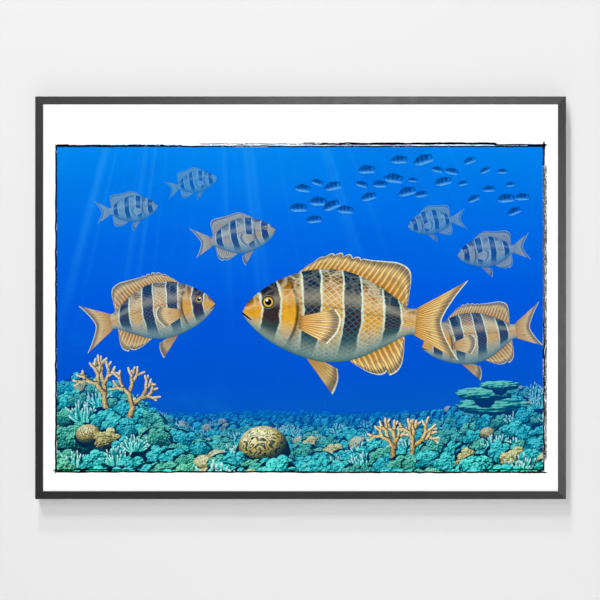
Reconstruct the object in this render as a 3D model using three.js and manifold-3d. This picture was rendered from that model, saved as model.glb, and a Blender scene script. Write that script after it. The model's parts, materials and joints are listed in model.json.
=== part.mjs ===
// A landscape print in a slim black wooden frame, as it hangs on a wall.
// Millimetres, +Z up. The picture faces -Y, and the wall is the plane y = 0.
// The origin is on the wall plane, midway between the two hangers, at the roots of their teeth.

import * as THREE from 'three';
import { mergeVertices } from 'three/addons/utils/BufferGeometryUtils.js';
import Module from 'manifold-3d';

const wasm = await Module();
wasm.setup();

// ---- Driving dimensions ----

const GAP = 0.3; // between pieces that touch

const SHEET = { width: 800, height: 603, thickness: 0.3 };
const PICTURE = { width: 749, height: 501, thickness: 0.2, left: 24.5, bottom: 33 };
const GLAZING_THICKNESS = 1.5;
const BACKING_THICKNESS = 3;

const MOULDING = {
  face: 12, // width of the front face
  depth: 20,
  lip: 3, // thickness of the lip in front of the glazing
  overlap: 4, // how far the lip covers the sheet
  fit: 0.5, // between the sheet's edge and the rebate's side
  outerRound: 0.8,
  sightRound: 0.6,
  backRound: 0.5,
  roundSegments: 2, // a quarter round gets twice as many
};

const POINT = { length: 15, width: 6, thickness: 0.6, driven: 5, tip: 2 };
const POINTS_PER_RAIL = 5;
const POINTS_PER_STILE = 4;

const CORNER_NAIL = { inset: 2.2, leg: 4.6, thickness: 0.6, length: 7, proud: 0.15 };

const HANGER = {
  spacing: 480, // between the two hangers' centres
  width: 44,
  height: 6.5,
  thickness: 0.8,
  fromEdge: 0.6, // from the rail's outer edge to the plate
  footEnd: 14, // where the flat feet end and the plate starts to rise, from its middle
  bridgeEnd: 11, // where the raised bridge starts
  rise: 1,
  toothPitch: 2,
  toothDepth: 1.3,
  teeth: 9,
  nailAt: 18,
};
const HANGER_NAIL = { shank: 0.6, head: 1.6, headHeight: 0.5, length: 8, tip: 1.2, sides: 12 };

const BUMPER = { radius: 3.2, thickness: 2.2, round: 0.5, fromEnd: 14, sides: 24 };

// ---- Sizes that follow ----

const OUTER_WIDTH = SHEET.width + 2 * (MOULDING.face - MOULDING.overlap);
const OUTER_HEIGHT = SHEET.height + 2 * (MOULDING.face - MOULDING.overlap);
const REBATE_WALL = MOULDING.face - MOULDING.overlap - MOULDING.fit;
const WALL_GAP = BUMPER.thickness + GAP; // from the back of the wood to the wall
const HANG_LINE = HANGER.fromEdge + HANGER.height - HANGER.toothDepth; // below the top edge

// What lies in the rebate, from the front: each is a depth behind the frame's front face.
const GLAZING_AT = MOULDING.lip + GAP;
const PICTURE_AT = GLAZING_AT + GLAZING_THICKNESS + GAP;
const SHEET_AT = PICTURE_AT + PICTURE.thickness + GAP;
const BACKING_AT = SHEET_AT + SHEET.thickness + GAP;
const POINT_AT = BACKING_AT + BACKING_THICKNESS + GAP;

// ---- Materials ----

function material(color, roughness, metalness, opacity = 1) {
  return new THREE.MeshStandardMaterial({
    color, roughness, metalness, opacity, transparent: opacity < 1,
  });
}

const blackWood = material(0x2b2b2c, 0.5, 0);
const clearAcrylic = material(0xffffff, 0.05, 0, 0.1);
const paper = material(0xf7f7f5, 0.85, 0);
const printedInk = material(0x0b6fc4, 0.6, 0);
const hardboard = material(0x8a6444, 0.9, 0);
const springSteel = material(0xa9abad, 0.35, 1);
const brass = material(0xc8a14e, 0.35, 1);
const rubber = material(0x1d1d1e, 0.9, 0);

// ---- Booleans ----

function toSolid(geometry) {
  const bare = geometry.clone();
  bare.deleteAttribute('normal');
  bare.deleteAttribute('uv');
  const merged = mergeVertices(bare, 1e-5);
  return new wasm.Manifold(new wasm.Mesh({
    numProp: 3,
    vertProperties: new Float32Array(merged.attributes.position.array),
    triVerts: new Uint32Array(merged.index.array),
  }));
}

function toGeometry(solid) {
  const mesh = solid.getMesh();
  const geometry = new THREE.BufferGeometry();
  geometry.setAttribute('position', new THREE.BufferAttribute(mesh.vertProperties, 3));
  geometry.setIndex(new THREE.BufferAttribute(mesh.triVerts, 1));
  geometry.computeVertexNormals();
  return geometry;
}

function cut(geometry, cutters) {
  let solid = toSolid(geometry);
  for (const cutter of cutters) solid = solid.subtract(toSolid(cutter));
  return toGeometry(solid);
}

// ---- Shapes ----

/** A box between two corners. */
function boxBetween(low, high) {
  const size = high.map((value, axis) => value - low[axis]);
  const centre = high.map((value, axis) => (value + low[axis]) / 2);
  return new THREE.BoxGeometry(...size).translate(...centre);
}

/** An outline given as [x, z] points, made a plate that fills y from `front` to `back`. */
function plate(outline, front, back) {
  const shape = new THREE.Shape(outline.map(([x, z]) => new THREE.Vector2(x, z)));
  const geometry = new THREE.ExtrudeGeometry(shape, { depth: back - front, bevelEnabled: false });
  return geometry.rotateX(Math.PI / 2).translate(0, back, 0);
}

/** A shape turned about the Y axis, from [radius, y] points that start and end on the axis. */
function turned(points, sides) {
  return new THREE.LatheGeometry(points.map(([r, y]) => new THREE.Vector2(r, y)), sides);
}

// ---- Moulding ----
// A bar lies along X with its outer edge at z = 0, its inner edge at -z and its back at y = 0.

/** The moulding's section: x is the distance in from the outer edge, y runs front to back. */
function mouldingSection() {
  const { face, depth, lip, outerRound, sightRound, backRound } = MOULDING;
  const section = new THREE.Shape();
  section.moveTo(0, outerRound - depth);
  section.absarc(outerRound, outerRound - depth, outerRound, Math.PI, 1.5 * Math.PI);
  section.lineTo(face - sightRound, -depth);
  section.absarc(face - sightRound, sightRound - depth, sightRound, 1.5 * Math.PI, 2 * Math.PI);
  section.lineTo(face, lip - depth);
  section.lineTo(REBATE_WALL, lip - depth);
  section.lineTo(REBATE_WALL, 0);
  section.lineTo(backRound, 0);
  section.absarc(backRound, -backRound, backRound, 0.5 * Math.PI, Math.PI);
  return section;
}

/** One bar, with both ends cut at 45 degrees so that each mitre has half of the gap. */
function mitredBar(length) {
  const geometry = new THREE.ExtrudeGeometry(mouldingSection(), {
    depth: length,
    bevelEnabled: false,
    curveSegments: MOULDING.roundSegments,
  });
  const setBack = GAP / Math.SQRT2;
  const position = geometry.attributes.position;
  for (let i = 0; i < position.count; i += 1) {
    const inward = position.getX(i) + setBack;
    const z = position.getZ(i);
    position.setZ(i, z > length / 2 ? z - inward : z + inward);
  }
  return geometry.rotateY(Math.PI / 2).translate(-length / 2, 0, 0);
}

/** Where a bar's retaining points are driven: even steps, with half a step at each end. */
function pointPlaces(length, count) {
  const step = length / count;
  return Array.from({ length: count }, (_, i) => (i + 0.5) * step - length / 2);
}

/** A flat retaining point at x: a plate with a sharp end in the wood and a blunt one inside. */
function retainingPoint(x) {
  const half = POINT.width / 2;
  const sharp = POINT.driven - REBATE_WALL;
  const blunt = sharp - POINT.length;
  const outline = [
    [x, sharp],
    [x - half, sharp - POINT.tip],
    [x - half, blunt + 1],
    [x - half + 1, blunt],
    [x + half - 1, blunt],
    [x + half, blunt + 1],
    [x + half, sharp - POINT.tip],
  ];
  const front = POINT_AT - MOULDING.depth;
  return plate(outline, front, front + POINT.thickness);
}

function pointSlot(x) {
  const half = POINT.width / 2 + GAP;
  const front = POINT_AT - MOULDING.depth;
  return boxBetween(
    [x - half, front - GAP, -REBATE_WALL - 1],
    [x + half, front + POINT.thickness + GAP, POINT.driven - REBATE_WALL + GAP],
  );
}

/** The L of a corner nail at a bar's end, grown by `grow` all round. side is 1 or -1. */
function cornerNailOutline(length, side, grow) {
  const { inset, leg, thickness } = CORNER_NAIL;
  const outer = inset - grow;
  const inner = inset + thickness + grow;
  const end = inset + leg + grow;
  const corner = side * length / 2;
  return [
    [outer, outer], [end, outer], [end, inner], [inner, inner], [inner, end], [outer, end],
  ].map(([along, down]) => [corner - side * along, -down]);
}

function cornerNail(length) {
  const back = CORNER_NAIL.proud;
  return plate(cornerNailOutline(length, 1, 0), back - CORNER_NAIL.length, back);
}

function cornerNailSlots(length) {
  const front = CORNER_NAIL.proud - CORNER_NAIL.length - GAP;
  return [1, -1].map((side) => plate(cornerNailOutline(length, side, GAP), front, 1));
}

// ---- Hangers ----

const HANGER_MIDDLE = -HANGER.fromEdge - HANGER.height / 2; // z of a hanger's long centreline

/** The notches under the plate's bridge, as one comb-shaped cutter at x = 0. */
function teethCutter() {
  const edge = -HANGER.fromEdge - HANGER.height;
  const half = HANGER.toothPitch / 2;
  const outline = [[HANGER.teeth * half, edge - 1], [-HANGER.teeth * half, edge - 1]];
  for (let i = 0; i < HANGER.teeth; i += 1) {
    const start = (2 * i - HANGER.teeth) * half;
    outline.push([start + 0.1, edge], [start + half, edge + HANGER.toothDepth]);
    outline.push([start + 2 * half - 0.1, edge]);
  }
  return plate(outline, 0, WALL_GAP);
}

/** A hole or peg along Y at (x, z). */
function round(radius, front, back, x, z) {
  const geometry = new THREE.CylinderGeometry(radius, radius, back - front, HANGER_NAIL.sides);
  return geometry.translate(x, (front + back) / 2, z);
}

/** A toothed plate with flat feet at its ends and a bridge that stands off the wood. */
function hangerPlate() {
  const { width, thickness, footEnd, bridgeEnd, rise, fromEdge, height, nailAt } = HANGER;
  const rear = [
    [-width / 2, GAP], [-footEnd, GAP], [-bridgeEnd, GAP + rise],
    [bridgeEnd, GAP + rise], [footEnd, GAP], [width / 2, GAP],
  ];
  const front = rear.map(([x, y]) => [x, y + thickness]).reverse();
  const side = new THREE.Shape([...rear, ...front].map(([x, y]) => new THREE.Vector2(x, y)));
  const strip = new THREE.ExtrudeGeometry(side, { depth: height, bevelEnabled: false });
  strip.translate(0, 0, -fromEdge - height);
  const hole = HANGER_NAIL.shank + GAP;
  const holes = [-nailAt, nailAt].map((x) => round(hole, -1, WALL_GAP, x, HANGER_MIDDLE));
  return cut(strip, [teethCutter(), ...holes]);
}

/** A round-headed nail whose head is just clear of a hanger's foot. */
function hangerNail() {
  const { shank, head, headHeight, length, tip } = HANGER_NAIL;
  const under = 2 * GAP + HANGER.thickness;
  const profile = [
    [0, under - length], [shank, under - length + tip], [shank, under], [head, under],
    [head, under + headHeight / 2], [head / 2, under + headHeight], [0, under + headHeight],
  ];
  return turned(profile, HANGER_NAIL.sides);
}

function nailHoles(centres) {
  const deep = 2 * GAP + HANGER.thickness - HANGER_NAIL.length - GAP;
  const radius = HANGER_NAIL.shank + GAP;
  return centres
    .flatMap((centre) => [centre - HANGER.nailAt, centre + HANGER.nailAt])
    .map((x) => round(radius, deep, 1, x, HANGER_MIDDLE));
}

// ---- Bumpers ----

function bumper() {
  const { radius, thickness, round: edge } = BUMPER;
  const back = GAP + thickness;
  return turned([
    [0, GAP], [radius, GAP], [radius, back - edge], [radius - edge, back], [0, back],
  ], BUMPER.sides);
}

// ---- Assembly ----

function named(name, geometry, finish) {
  const mesh = new THREE.Mesh(geometry, finish);
  mesh.name = name;
  return mesh;
}

/** A bar with its retaining points and the corner nail at its right-hand end. */
function barGroup({ bar, points, corner, length, pointCount, holes = [] }) {
  const places = pointPlaces(length, pointCount);
  const cutters = [...places.map(pointSlot), ...cornerNailSlots(length), ...holes];
  const group = new THREE.Group();
  group.add(named(bar, cut(mitredBar(length), cutters), blackWood));
  places.forEach((x, i) => {
    group.add(named(`${points}_${i + 1}`, retainingPoint(x), springSteel));
  });
  group.add(named(corner, cornerNail(length), springSteel));
  return group;
}

const hangerCentres = [-HANGER.spacing / 2, HANGER.spacing / 2];

const topBar = barGroup({
  bar: 'rail_top', points: 'point_top', corner: 'corner_nail_top_right',
  length: OUTER_WIDTH, pointCount: POINTS_PER_RAIL, holes: nailHoles(hangerCentres),
});
const rightBar = barGroup({
  bar: 'stile_right', points: 'point_right', corner: 'corner_nail_bottom_right',
  length: OUTER_HEIGHT, pointCount: POINTS_PER_STILE,
});
const bottomBar = barGroup({
  bar: 'rail_bottom', points: 'point_bottom', corner: 'corner_nail_bottom_left',
  length: OUTER_WIDTH, pointCount: POINTS_PER_RAIL,
});
const leftBar = barGroup({
  bar: 'stile_left', points: 'point_left', corner: 'corner_nail_top_left',
  length: OUTER_HEIGHT, pointCount: POINTS_PER_STILE,
});

['left', 'right'].forEach((side, i) => {
  const hanger = new THREE.Group();
  hanger.position.x = hangerCentres[i];
  hanger.add(named(`hanger_${side}`, hangerPlate(), brass));
  [-HANGER.nailAt, HANGER.nailAt].forEach((x, n) => {
    const nail = named(`hanger_nail_${side}_${n + 1}`, hangerNail(), brass);
    nail.position.set(x, 0, HANGER_MIDDLE);
    hanger.add(nail);
  });
  topBar.add(hanger);
});

[[leftBar, 'bumper_left', -1], [rightBar, 'bumper_right', 1]].forEach(([bar, name, way]) => {
  const pad = named(name, bumper(), rubber);
  pad.position.set(way * (OUTER_HEIGHT / 2 - BUMPER.fromEnd), 0, -REBATE_WALL / 2);
  bar.add(pad);
});

topBar.position.z = OUTER_HEIGHT / 2;
bottomBar.position.z = -OUTER_HEIGHT / 2;
bottomBar.rotation.y = Math.PI;
rightBar.position.x = OUTER_WIDTH / 2;
rightBar.rotation.y = Math.PI / 2;
leftBar.position.x = -OUTER_WIDTH / 2;
leftBar.rotation.y = -Math.PI / 2;

/** A flat layer in the rebate, `at` behind the front face, with its lower left corner given. */
function layer(name, at, { width, height, thickness, left, bottom }, finish) {
  const front = at - MOULDING.depth;
  const low = [left, front, bottom];
  const high = [left + width, front + thickness, bottom + height];
  return named(name, boxBetween(low, high), finish);
}

const sheetCorner = { left: -SHEET.width / 2, bottom: -SHEET.height / 2 };
const pictureCorner = {
  left: sheetCorner.left + PICTURE.left,
  bottom: sheetCorner.bottom + PICTURE.bottom,
};

const frame = new THREE.Group();
frame.add(topBar, rightBar, bottomBar, leftBar);
frame.add(
  layer('glazing', GLAZING_AT,
    { ...SHEET, ...sheetCorner, thickness: GLAZING_THICKNESS }, clearAcrylic),
  layer('print_picture', PICTURE_AT, { ...PICTURE, ...pictureCorner }, printedInk),
  layer('print_sheet', SHEET_AT, { ...SHEET, ...sheetCorner }, paper),
  layer('backing_board', BACKING_AT,
    { ...SHEET, ...sheetCorner, thickness: BACKING_THICKNESS }, hardboard),
);
frame.position.set(0, -WALL_GAP, HANG_LINE - OUTER_HEIGHT / 2);

const framedPrint = new THREE.Group();
framedPrint.add(frame);

export default framedPrint;
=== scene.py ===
"""A landscape print in a slim black wooden frame, hanging on a pale wall.

The row frame is in metres with +Z up: the wall is y = 0 and the print faces -Y. Sizes are written in
millimetres and multiplied by MM. The artwork is drawn on its own page, in millimetres from the
picture's lower left corner, and laid in the frame at the end.
"""

import json
import logging
import math
from dataclasses import dataclass, field
from enum import Enum
from functools import partialmethod
from typing import Callable, ClassVar, Iterable, Sequence

import bmesh
import bpy
import numpy as np
from mathutils import Matrix, Vector
from mathutils.geometry import delaunay_2d_cdt

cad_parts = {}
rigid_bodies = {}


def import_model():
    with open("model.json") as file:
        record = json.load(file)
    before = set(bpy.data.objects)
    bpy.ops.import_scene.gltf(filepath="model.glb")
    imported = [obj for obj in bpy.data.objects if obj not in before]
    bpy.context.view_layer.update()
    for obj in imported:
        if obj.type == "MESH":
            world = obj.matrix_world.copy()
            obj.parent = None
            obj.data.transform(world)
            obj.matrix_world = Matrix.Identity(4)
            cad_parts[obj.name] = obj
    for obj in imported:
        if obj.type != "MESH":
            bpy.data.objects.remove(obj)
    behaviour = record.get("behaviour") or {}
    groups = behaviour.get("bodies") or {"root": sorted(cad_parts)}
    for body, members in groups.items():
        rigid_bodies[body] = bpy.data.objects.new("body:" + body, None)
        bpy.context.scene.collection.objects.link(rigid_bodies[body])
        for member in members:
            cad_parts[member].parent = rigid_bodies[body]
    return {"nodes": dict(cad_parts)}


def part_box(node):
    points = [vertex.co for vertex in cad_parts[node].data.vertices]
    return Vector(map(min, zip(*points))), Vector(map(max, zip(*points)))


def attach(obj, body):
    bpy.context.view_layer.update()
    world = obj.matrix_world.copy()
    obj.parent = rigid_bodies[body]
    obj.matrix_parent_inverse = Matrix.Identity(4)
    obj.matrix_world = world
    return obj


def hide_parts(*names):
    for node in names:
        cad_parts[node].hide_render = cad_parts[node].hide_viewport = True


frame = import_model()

MM = 0.001
BODY = "root"
BOARD_EDGE = 0.35  # the width of the backing board's soft edges, in mm
BAKE_MAP = "OFBake"  # the UV map laid out for baking the colours
FORM_MAP = "form"  # the UV map that patterns follow
TONE = "tone"  # haze, seed, light and heat of each painted shape

log = logging.getLogger("framed_print")

Mesh, Node, Thing = bpy.types.Mesh, bpy.types.Node, bpy.types.Object
KINDS = {int: "Int", float: "Float", tuple: "Vector", str: "Color", type(None): "Material"}  # of sockets
Colour = tuple[float, float, float, float]
Corner = tuple[float, float, float]
Spot = tuple[float, float]


def tint(code: str) -> Colour:
    """The linear colour of a web colour code such as 3fa2c0.

    Args:
        code: the colour code.

    Returns:
        Red, green, blue and an alpha of 1.
    """
    parts = [int(code[i:i + 2], 16) / 255 for i in (0, 2, 4)]
    linear = [p / 12.92 if p <= 0.04045 else ((p + 0.055) / 1.055) ** 2.4 for p in parts]
    return (*linear, 1.0)


# ---- Node trees ----


class Signal:
    """A node's output that sums can be written with: each sign adds a node of the right kind."""

    def __init__(self, graph: "Graph", socket: bpy.types.NodeSocket) -> None:
        """Keeps the graph and the output."""
        self.graph = graph
        self.socket = socket

    def join(self, operation: str, *others: object) -> "Signal":
        """This joined with the others by a number, vector or colour node, as its kind needs.

        Args:
            operation: the node's operation.
            others: the other values.

        Returns:
            The result.
        """
        values = (self, *others)
        if self.socket.type == "RGBA":
            return self.graph.mix(1.0, *values, blend=operation)
        if self.socket.type == "VECTOR":
            return self.graph.node("ShaderNodeVectorMath", dict(enumerate(values)), operation=operation)
        return self.graph.math(operation, *values)

    __add__ = __radd__ = partialmethod(join, "ADD")
    __sub__ = partialmethod(join, "SUBTRACT")
    __mul__ = __rmul__ = partialmethod(join, "MULTIPLY")
    __truediv__ = partialmethod(join, "DIVIDE")

    def __rsub__(self, other: float) -> "Signal":
        """A number less this."""
        return self.graph.math("SUBTRACT", other, self)

    def of(self, operation: str) -> "Signal":
        """A one-sided sum of this, such as COSINE or ABSOLUTE."""
        return self.graph.math(operation, self)

    def step(self, low: float, high: float) -> "Signal":
        """A smooth step from 0 at low to 1 at high, or the other way if high is the lower."""
        inputs = {"Value": self, "From Min": low, "From Max": high}
        return self.graph.node("ShaderNodeMapRange", inputs, interpolation_type="SMOOTHSTEP")

    def span(self, low: float, high: float) -> "Signal":
        """A share from 0 to 1 stretched to the range from low to high."""
        return self.graph.node("ShaderNodeMapRange", {"Value": self, "To Min": low, "To Max": high})

    def parts(self) -> list["Signal"]:
        """A vector's three parts."""
        outputs = self.graph.add("ShaderNodeSeparateXYZ", {0: self}).outputs
        return [Signal(self.graph, output) for output in outputs]


class Graph:
    """A node tree with short calls that add a node and wire it from values and signals alike."""

    def __init__(self, tree: bpy.types.NodeTree) -> None:
        """Keeps the tree."""
        self.tree = tree

    def add(self, kind: str, inputs: dict | None = None, **settings: object) -> Node:
        """Adds one node.

        Args:
            kind: the node's type.
            inputs: a value or a signal for each input, by its name or number.
            settings: the node's own properties.

        Returns:
            The node.
        """
        node = self.tree.nodes.new(kind)
        for name, value in settings.items():
            setattr(node, name, value)
        for key, value in (inputs or {}).items():
            self.feed(node.inputs[key], value)
        return node

    def feed(self, socket: bpy.types.NodeSocket, value: object) -> None:
        """Gives an input a value, a colour code or a signal.

        Args:
            socket: the input.
            value: what it gets.
        """
        if isinstance(value, Signal):
            self.tree.links.new(value.socket, socket)
        elif isinstance(value, str):
            socket.default_value = tint(value)
        else:
            spread = socket.type == "VECTOR" and not isinstance(value, tuple)
            socket.default_value = (value,) * 3 if spread else value

    def node(self, kind: str, inputs: dict | None = None, output: int | str = 0,
             **settings: object) -> Signal:
        """Adds one node, as add does, and gives one of its outputs."""
        return Signal(self, self.add(kind, inputs, **settings).outputs[output])

    def math(self, operation: str, *values: object, clamp: bool = False) -> Signal:
        """A Math node's result."""
        return self.node("ShaderNodeMath", dict(enumerate(values)), operation=operation, use_clamp=clamp)

    def mix(self, share: object, first: object, second: object, blend: str = "MIX") -> Signal:
        """Two colours mixed by a share of the second."""
        inputs = {0: share, 6: first, 7: second}
        return self.node("ShaderNodeMix", inputs, 2, data_type="RGBA", blend_type=blend)

    def ramp(self, value: object, *stops: tuple[float, str]) -> Signal:
        """A colour read from a row of (place, colour) stops.

        Args:
            value: what it is read at.
            stops: the stops.

        Returns:
            The colour.
        """
        node = self.add("ShaderNodeValToRGB", {"Fac": value})
        elements = node.color_ramp.elements
        for place, _ in stops[2:]:
            elements.new(place)
        for element, (place, colour) in zip(elements, stops):
            element.position = place
            element.color = tint(colour)
        return Signal(self, node.outputs["Color"])

    def noise(self, vector: object, scale: object, detail: float = 2.0, roughness: float = 0.5,
              distortion: float = 0.0) -> Signal:
        """Soft noise from 0 to 1.

        Args:
            vector: where it is drawn.
            scale: how fine it is.
            detail: how many octaves.
            roughness: how strong the finer ones are.
            distortion: how far it is warped.

        Returns:
            The noise.
        """
        return self.node("ShaderNodeTexNoise", {
            "Vector": vector, "Scale": scale, "Detail": detail, "Roughness": roughness,
            "Distortion": distortion})

    def cells(self, vector: object, scale: object, feature: str = "F1", randomness: float = 1.0,
              output: str = "Distance", flat: bool = False) -> Signal:
        """A reading of Voronoi cells, in space or flat.

        Args:
            vector: where they are drawn.
            scale: how fine they are.
            feature: what is read.
            randomness: how far from a grid they are.
            output: which output is given.
            flat: whether they are flat.

        Returns:
            The reading.
        """
        inputs = {"Vector": vector, "Scale": scale, "Randomness": randomness}
        return self.node("ShaderNodeTexVoronoi", inputs, output, feature=feature,
                         voronoi_dimensions="2D" if flat else "3D")

    def vector(self, x: object = 0.0, y: object = 0.0, z: object = 0.0) -> Signal:
        """A vector from three parts."""
        return self.node("ShaderNodeCombineXYZ", {0: x, 1: y, 2: z})

    def place(self, group: "ShaderGroup", *values: object) -> list[Signal]:
        """Places a shader group with values for its inputs, in their order, and gives its outputs.

        Args:
            group: the group.
            values: the values.

        Returns:
            Its outputs.
        """
        node = self.add("ShaderNodeGroup", node_tree=group.tree())
        for socket, value in zip(node.inputs, values, strict=True):
            self.feed(socket, value)
        return [Signal(self, output) for output in node.outputs]

    def object_point(self) -> Signal:
        """The place on the piece in the row frame."""
        return self.node("ShaderNodeTexCoord", output="Object")

    def form(self) -> Signal:
        """The piece's own pattern map."""
        return self.node("ShaderNodeUVMap", uv_map=FORM_MAP)


@dataclass
class ShaderGroup:
    """A shader node group that is made once and placed in each material that uses it."""

    name: str  # the group's name
    inputs: dict[str, object]  # each input's name and starting value, a number, a vector or a colour
    outputs: dict[str, str]  # each output's name and kind, Float or Color
    wire: Callable[..., Sequence[Signal]]  # draws its inside from its inputs and returns its outputs
    made: bpy.types.NodeTree | None = None  # its tree, once it is made

    def tree(self) -> bpy.types.NodeTree:
        """The group's node tree, made at the first call.

        Returns:
            The tree.
        """
        if self.made is None:
            self.made = bpy.data.node_groups.new(self.name, "ShaderNodeTree")
            for label, start in self.inputs.items():
                kind = KINDS[type(start)]
                socket = self.made.interface.new_socket(
                    label, in_out="INPUT", socket_type=f"NodeSocket{kind}")
                socket.default_value = tint(start) if kind == "Color" else start
            for label, kind in self.outputs.items():
                self.made.interface.new_socket(label, in_out="OUTPUT", socket_type=f"NodeSocket{kind}")
            graph = Graph(self.made)
            outputs = graph.add("NodeGroupInput").outputs[:len(self.inputs)]
            results = self.wire(graph, *(Signal(graph, output) for output in outputs))
            graph.add("NodeGroupOutput", dict(enumerate(results)))
        return self.made


def wire_grain(graph: Graph, point: Signal, stretch: Signal) -> list[Signal]:
    """Draws wood or fibre drawn out along one axis: fine pores over broad streaks."""
    drawn = point * stretch
    return [graph.noise(drawn, 1.0, 4.0, 0.6, 0.4), graph.noise(drawn, 5.0, 3.0, 0.7).step(0.56, 0.72)]


def wire_mottle(graph: Graph, point: Signal, scale: Signal, colour: Signal, dark: Signal, light: Signal,
                amount: Signal) -> list[Signal]:
    """Draws the uneven tone of a handled surface: soft clouds with fine dust in them.

    Args:
        graph: the group's tree.
        point: where it is drawn.
        scale: how many clouds to a metre.
        colour: the even colour.
        dark: the clouds' darker colour.
        light: their lighter one.
        amount: how much they cover.

    Returns:
        The colour, the clouds and the dust.
    """
    clouds = graph.noise(point, scale, 5.0, 0.62)
    dust = graph.noise(point, scale * 19.0, 2.0, 0.6).step(0.6, 0.78) * clouds.step(0.4, 0.7)
    return [graph.mix(amount, colour, graph.mix(clouds, dark, light)), clouds, dust]


def wire_edge_wear(graph: Graph, point: Signal, scale: Signal, edge: Signal,
                   amount: Signal) -> list[Signal]:
    """Draws rubbed arrises: a broken mask over the strip that the piece marks as its edge."""
    return [(edge + graph.noise(point, scale, 4.0, 0.7) * 1.2).step(1.2, 1.7) * amount]


def wire_paper_grain(graph: Graph, point: Signal) -> list[Signal]:
    """Draws the tooth of matte paper: fibres over a fine felt mark."""
    fibres = graph.noise(point * (1.0, 1.0, 2.4), 900.0, 3.0, 0.7, 0.6)
    return [fibres * 0.7 + graph.cells(point, 1400.0, "SMOOTH_F1") * 0.5, fibres.span(0.74, 0.9)]


ORIGIN = (0.0, 0.0, 0.0)
GREY = "808080"
GRAIN = ShaderGroup(
    "Grain", {"Point": ORIGIN, "Stretch": ORIGIN}, {"Streaks": "Float", "Pores": "Float"}, wire_grain)
MOTTLE = ShaderGroup(
    "Mottle", {"Point": ORIGIN, "Scale": 40.0, "Colour": GREY, "Dark": GREY, "Light": GREY, "Amount": 0.5},
    {"Colour": "Color", "Clouds": "Float", "Dust": "Float"}, wire_mottle)
EDGE_WEAR = ShaderGroup(
    "Edge wear", {"Point": ORIGIN, "Scale": 300.0, "Edge": 0.0, "Amount": 1.0}, {"Mask": "Float"},
    wire_edge_wear)
PAPER_GRAIN = ShaderGroup(
    "Paper grain", {"Point": ORIGIN}, {"Height": "Float", "Roughness": "Float"}, wire_paper_grain)


# ---- Finishes ----


class Coat(Graph):
    """A material's node tree, around its Principled shader."""

    def lay(self, colour: Signal, roughness: Signal, height: Signal | None = None, bump: float = 0.2,
            relief: float = 0.0002, **plain: float) -> None:
        """Feeds the shader.

        Args:
            colour: the base colour.
            roughness: the roughness.
            height: what a Bump node reads, if there is one.
            bump: that node's strength.
            relief: its distance, in metres.
            plain: numbers that are the same all over, by their socket's name with _ for a space.
        """
        sockets = self.tree.nodes["Principled BSDF"].inputs
        self.feed(sockets["Base Color"], colour)
        self.feed(sockets["Roughness"], roughness)
        for name, value in plain.items():
            sockets[name.replace("_", " ")].default_value = value
        if height is not None:
            inputs = {"Strength": bump, "Distance": relief, "Height": height}
            self.feed(sockets["Normal"], self.node("ShaderNodeBump", inputs))


@dataclass(frozen=True)
class Finish:
    """A surface's look."""

    name: str  # the material's name
    graph: ClassVar[type] = Coat

    def wire(self, graph: Coat) -> None:
        """Draws the finish into a new material; each kind of finish has its own."""
        raise NotImplementedError

    def material(self) -> bpy.types.Material:
        """The finish's material, made at the first call.

        Returns:
            The material.
        """
        made = bpy.data.materials.get(self.name)
        if made is None:
            made = bpy.data.materials.new(self.name)
            made.use_nodes = True
            self.wire(self.graph(made.node_tree))
        return made


@dataclass(frozen=True)
class StainedWood(Finish):
    """Open-pored wood under a thin satin black stain, rubbed at its arrises."""

    stretch: Corner = (9.0, 900.0, 900.0)  # how the grain is drawn out, so that it runs along the bar
    deep: str = "151516"
    pale: str = "242425"
    pore: str = "0e0e0f"
    worn: str = "4f4b48"

    def wire(self, graph: Coat) -> None:
        """Draws stain over grain, with mottling and wear.

        Args:
            graph: the new material's node tree.
        """
        point = graph.object_point()
        streaks, pores = graph.place(GRAIN, point, self.stretch)
        stained = graph.mix(streaks, self.deep, self.pale)
        colour, clouds, dust = graph.place(MOTTLE, point, 55.0, stained, self.deep, self.pale, 0.45)
        wear = graph.place(EDGE_WEAR, point, 420.0, graph.form().parts()[1], 0.5)[0]
        colour = graph.mix(wear, graph.mix(pores * 0.5, colour, self.pore), self.worn)
        graph.lay(colour, clouds.span(0.36, 0.5) + dust * 0.12, streaks * 0.5 - pores, 0.3, 0.00012)


@dataclass(frozen=True)
class ClearAcrylic(Finish):
    """Thin clear glazing: nearly all see-through, with faint wiping marks in its gloss."""

    def wire(self, graph: Coat) -> None:
        """Draws the wiping marks and sets the plain opacity.

        Args:
            graph: the new material's node tree.
        """
        marks = graph.noise(graph.object_point() * (6.0, 6.0, 30.0), 3.0, 4.0, 0.6, 0.8)
        colour = graph.mix(marks, "f2f6f8", "ffffff")
        graph.lay(colour, marks.span(0.03, 0.09), Transmission_Weight=1.0, Alpha=0.06, IOR=1.49)


@dataclass(frozen=True)
class Paper(Finish):
    """Bright white cotton paper with a matte coat."""

    def wire(self, graph: Coat) -> None:
        """Draws paper grain under a hardly uneven white.

        Args:
            graph: the new material's node tree.
        """
        point = graph.object_point()
        height, rough = graph.place(PAPER_GRAIN, point)
        colour = graph.mix(graph.noise(point, 14.0, 3.0), "f6f6f4", "fcfcfb")
        graph.lay(colour, rough, height, 0.12, 0.00006, Specular_IOR_Level=0.25)


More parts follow.
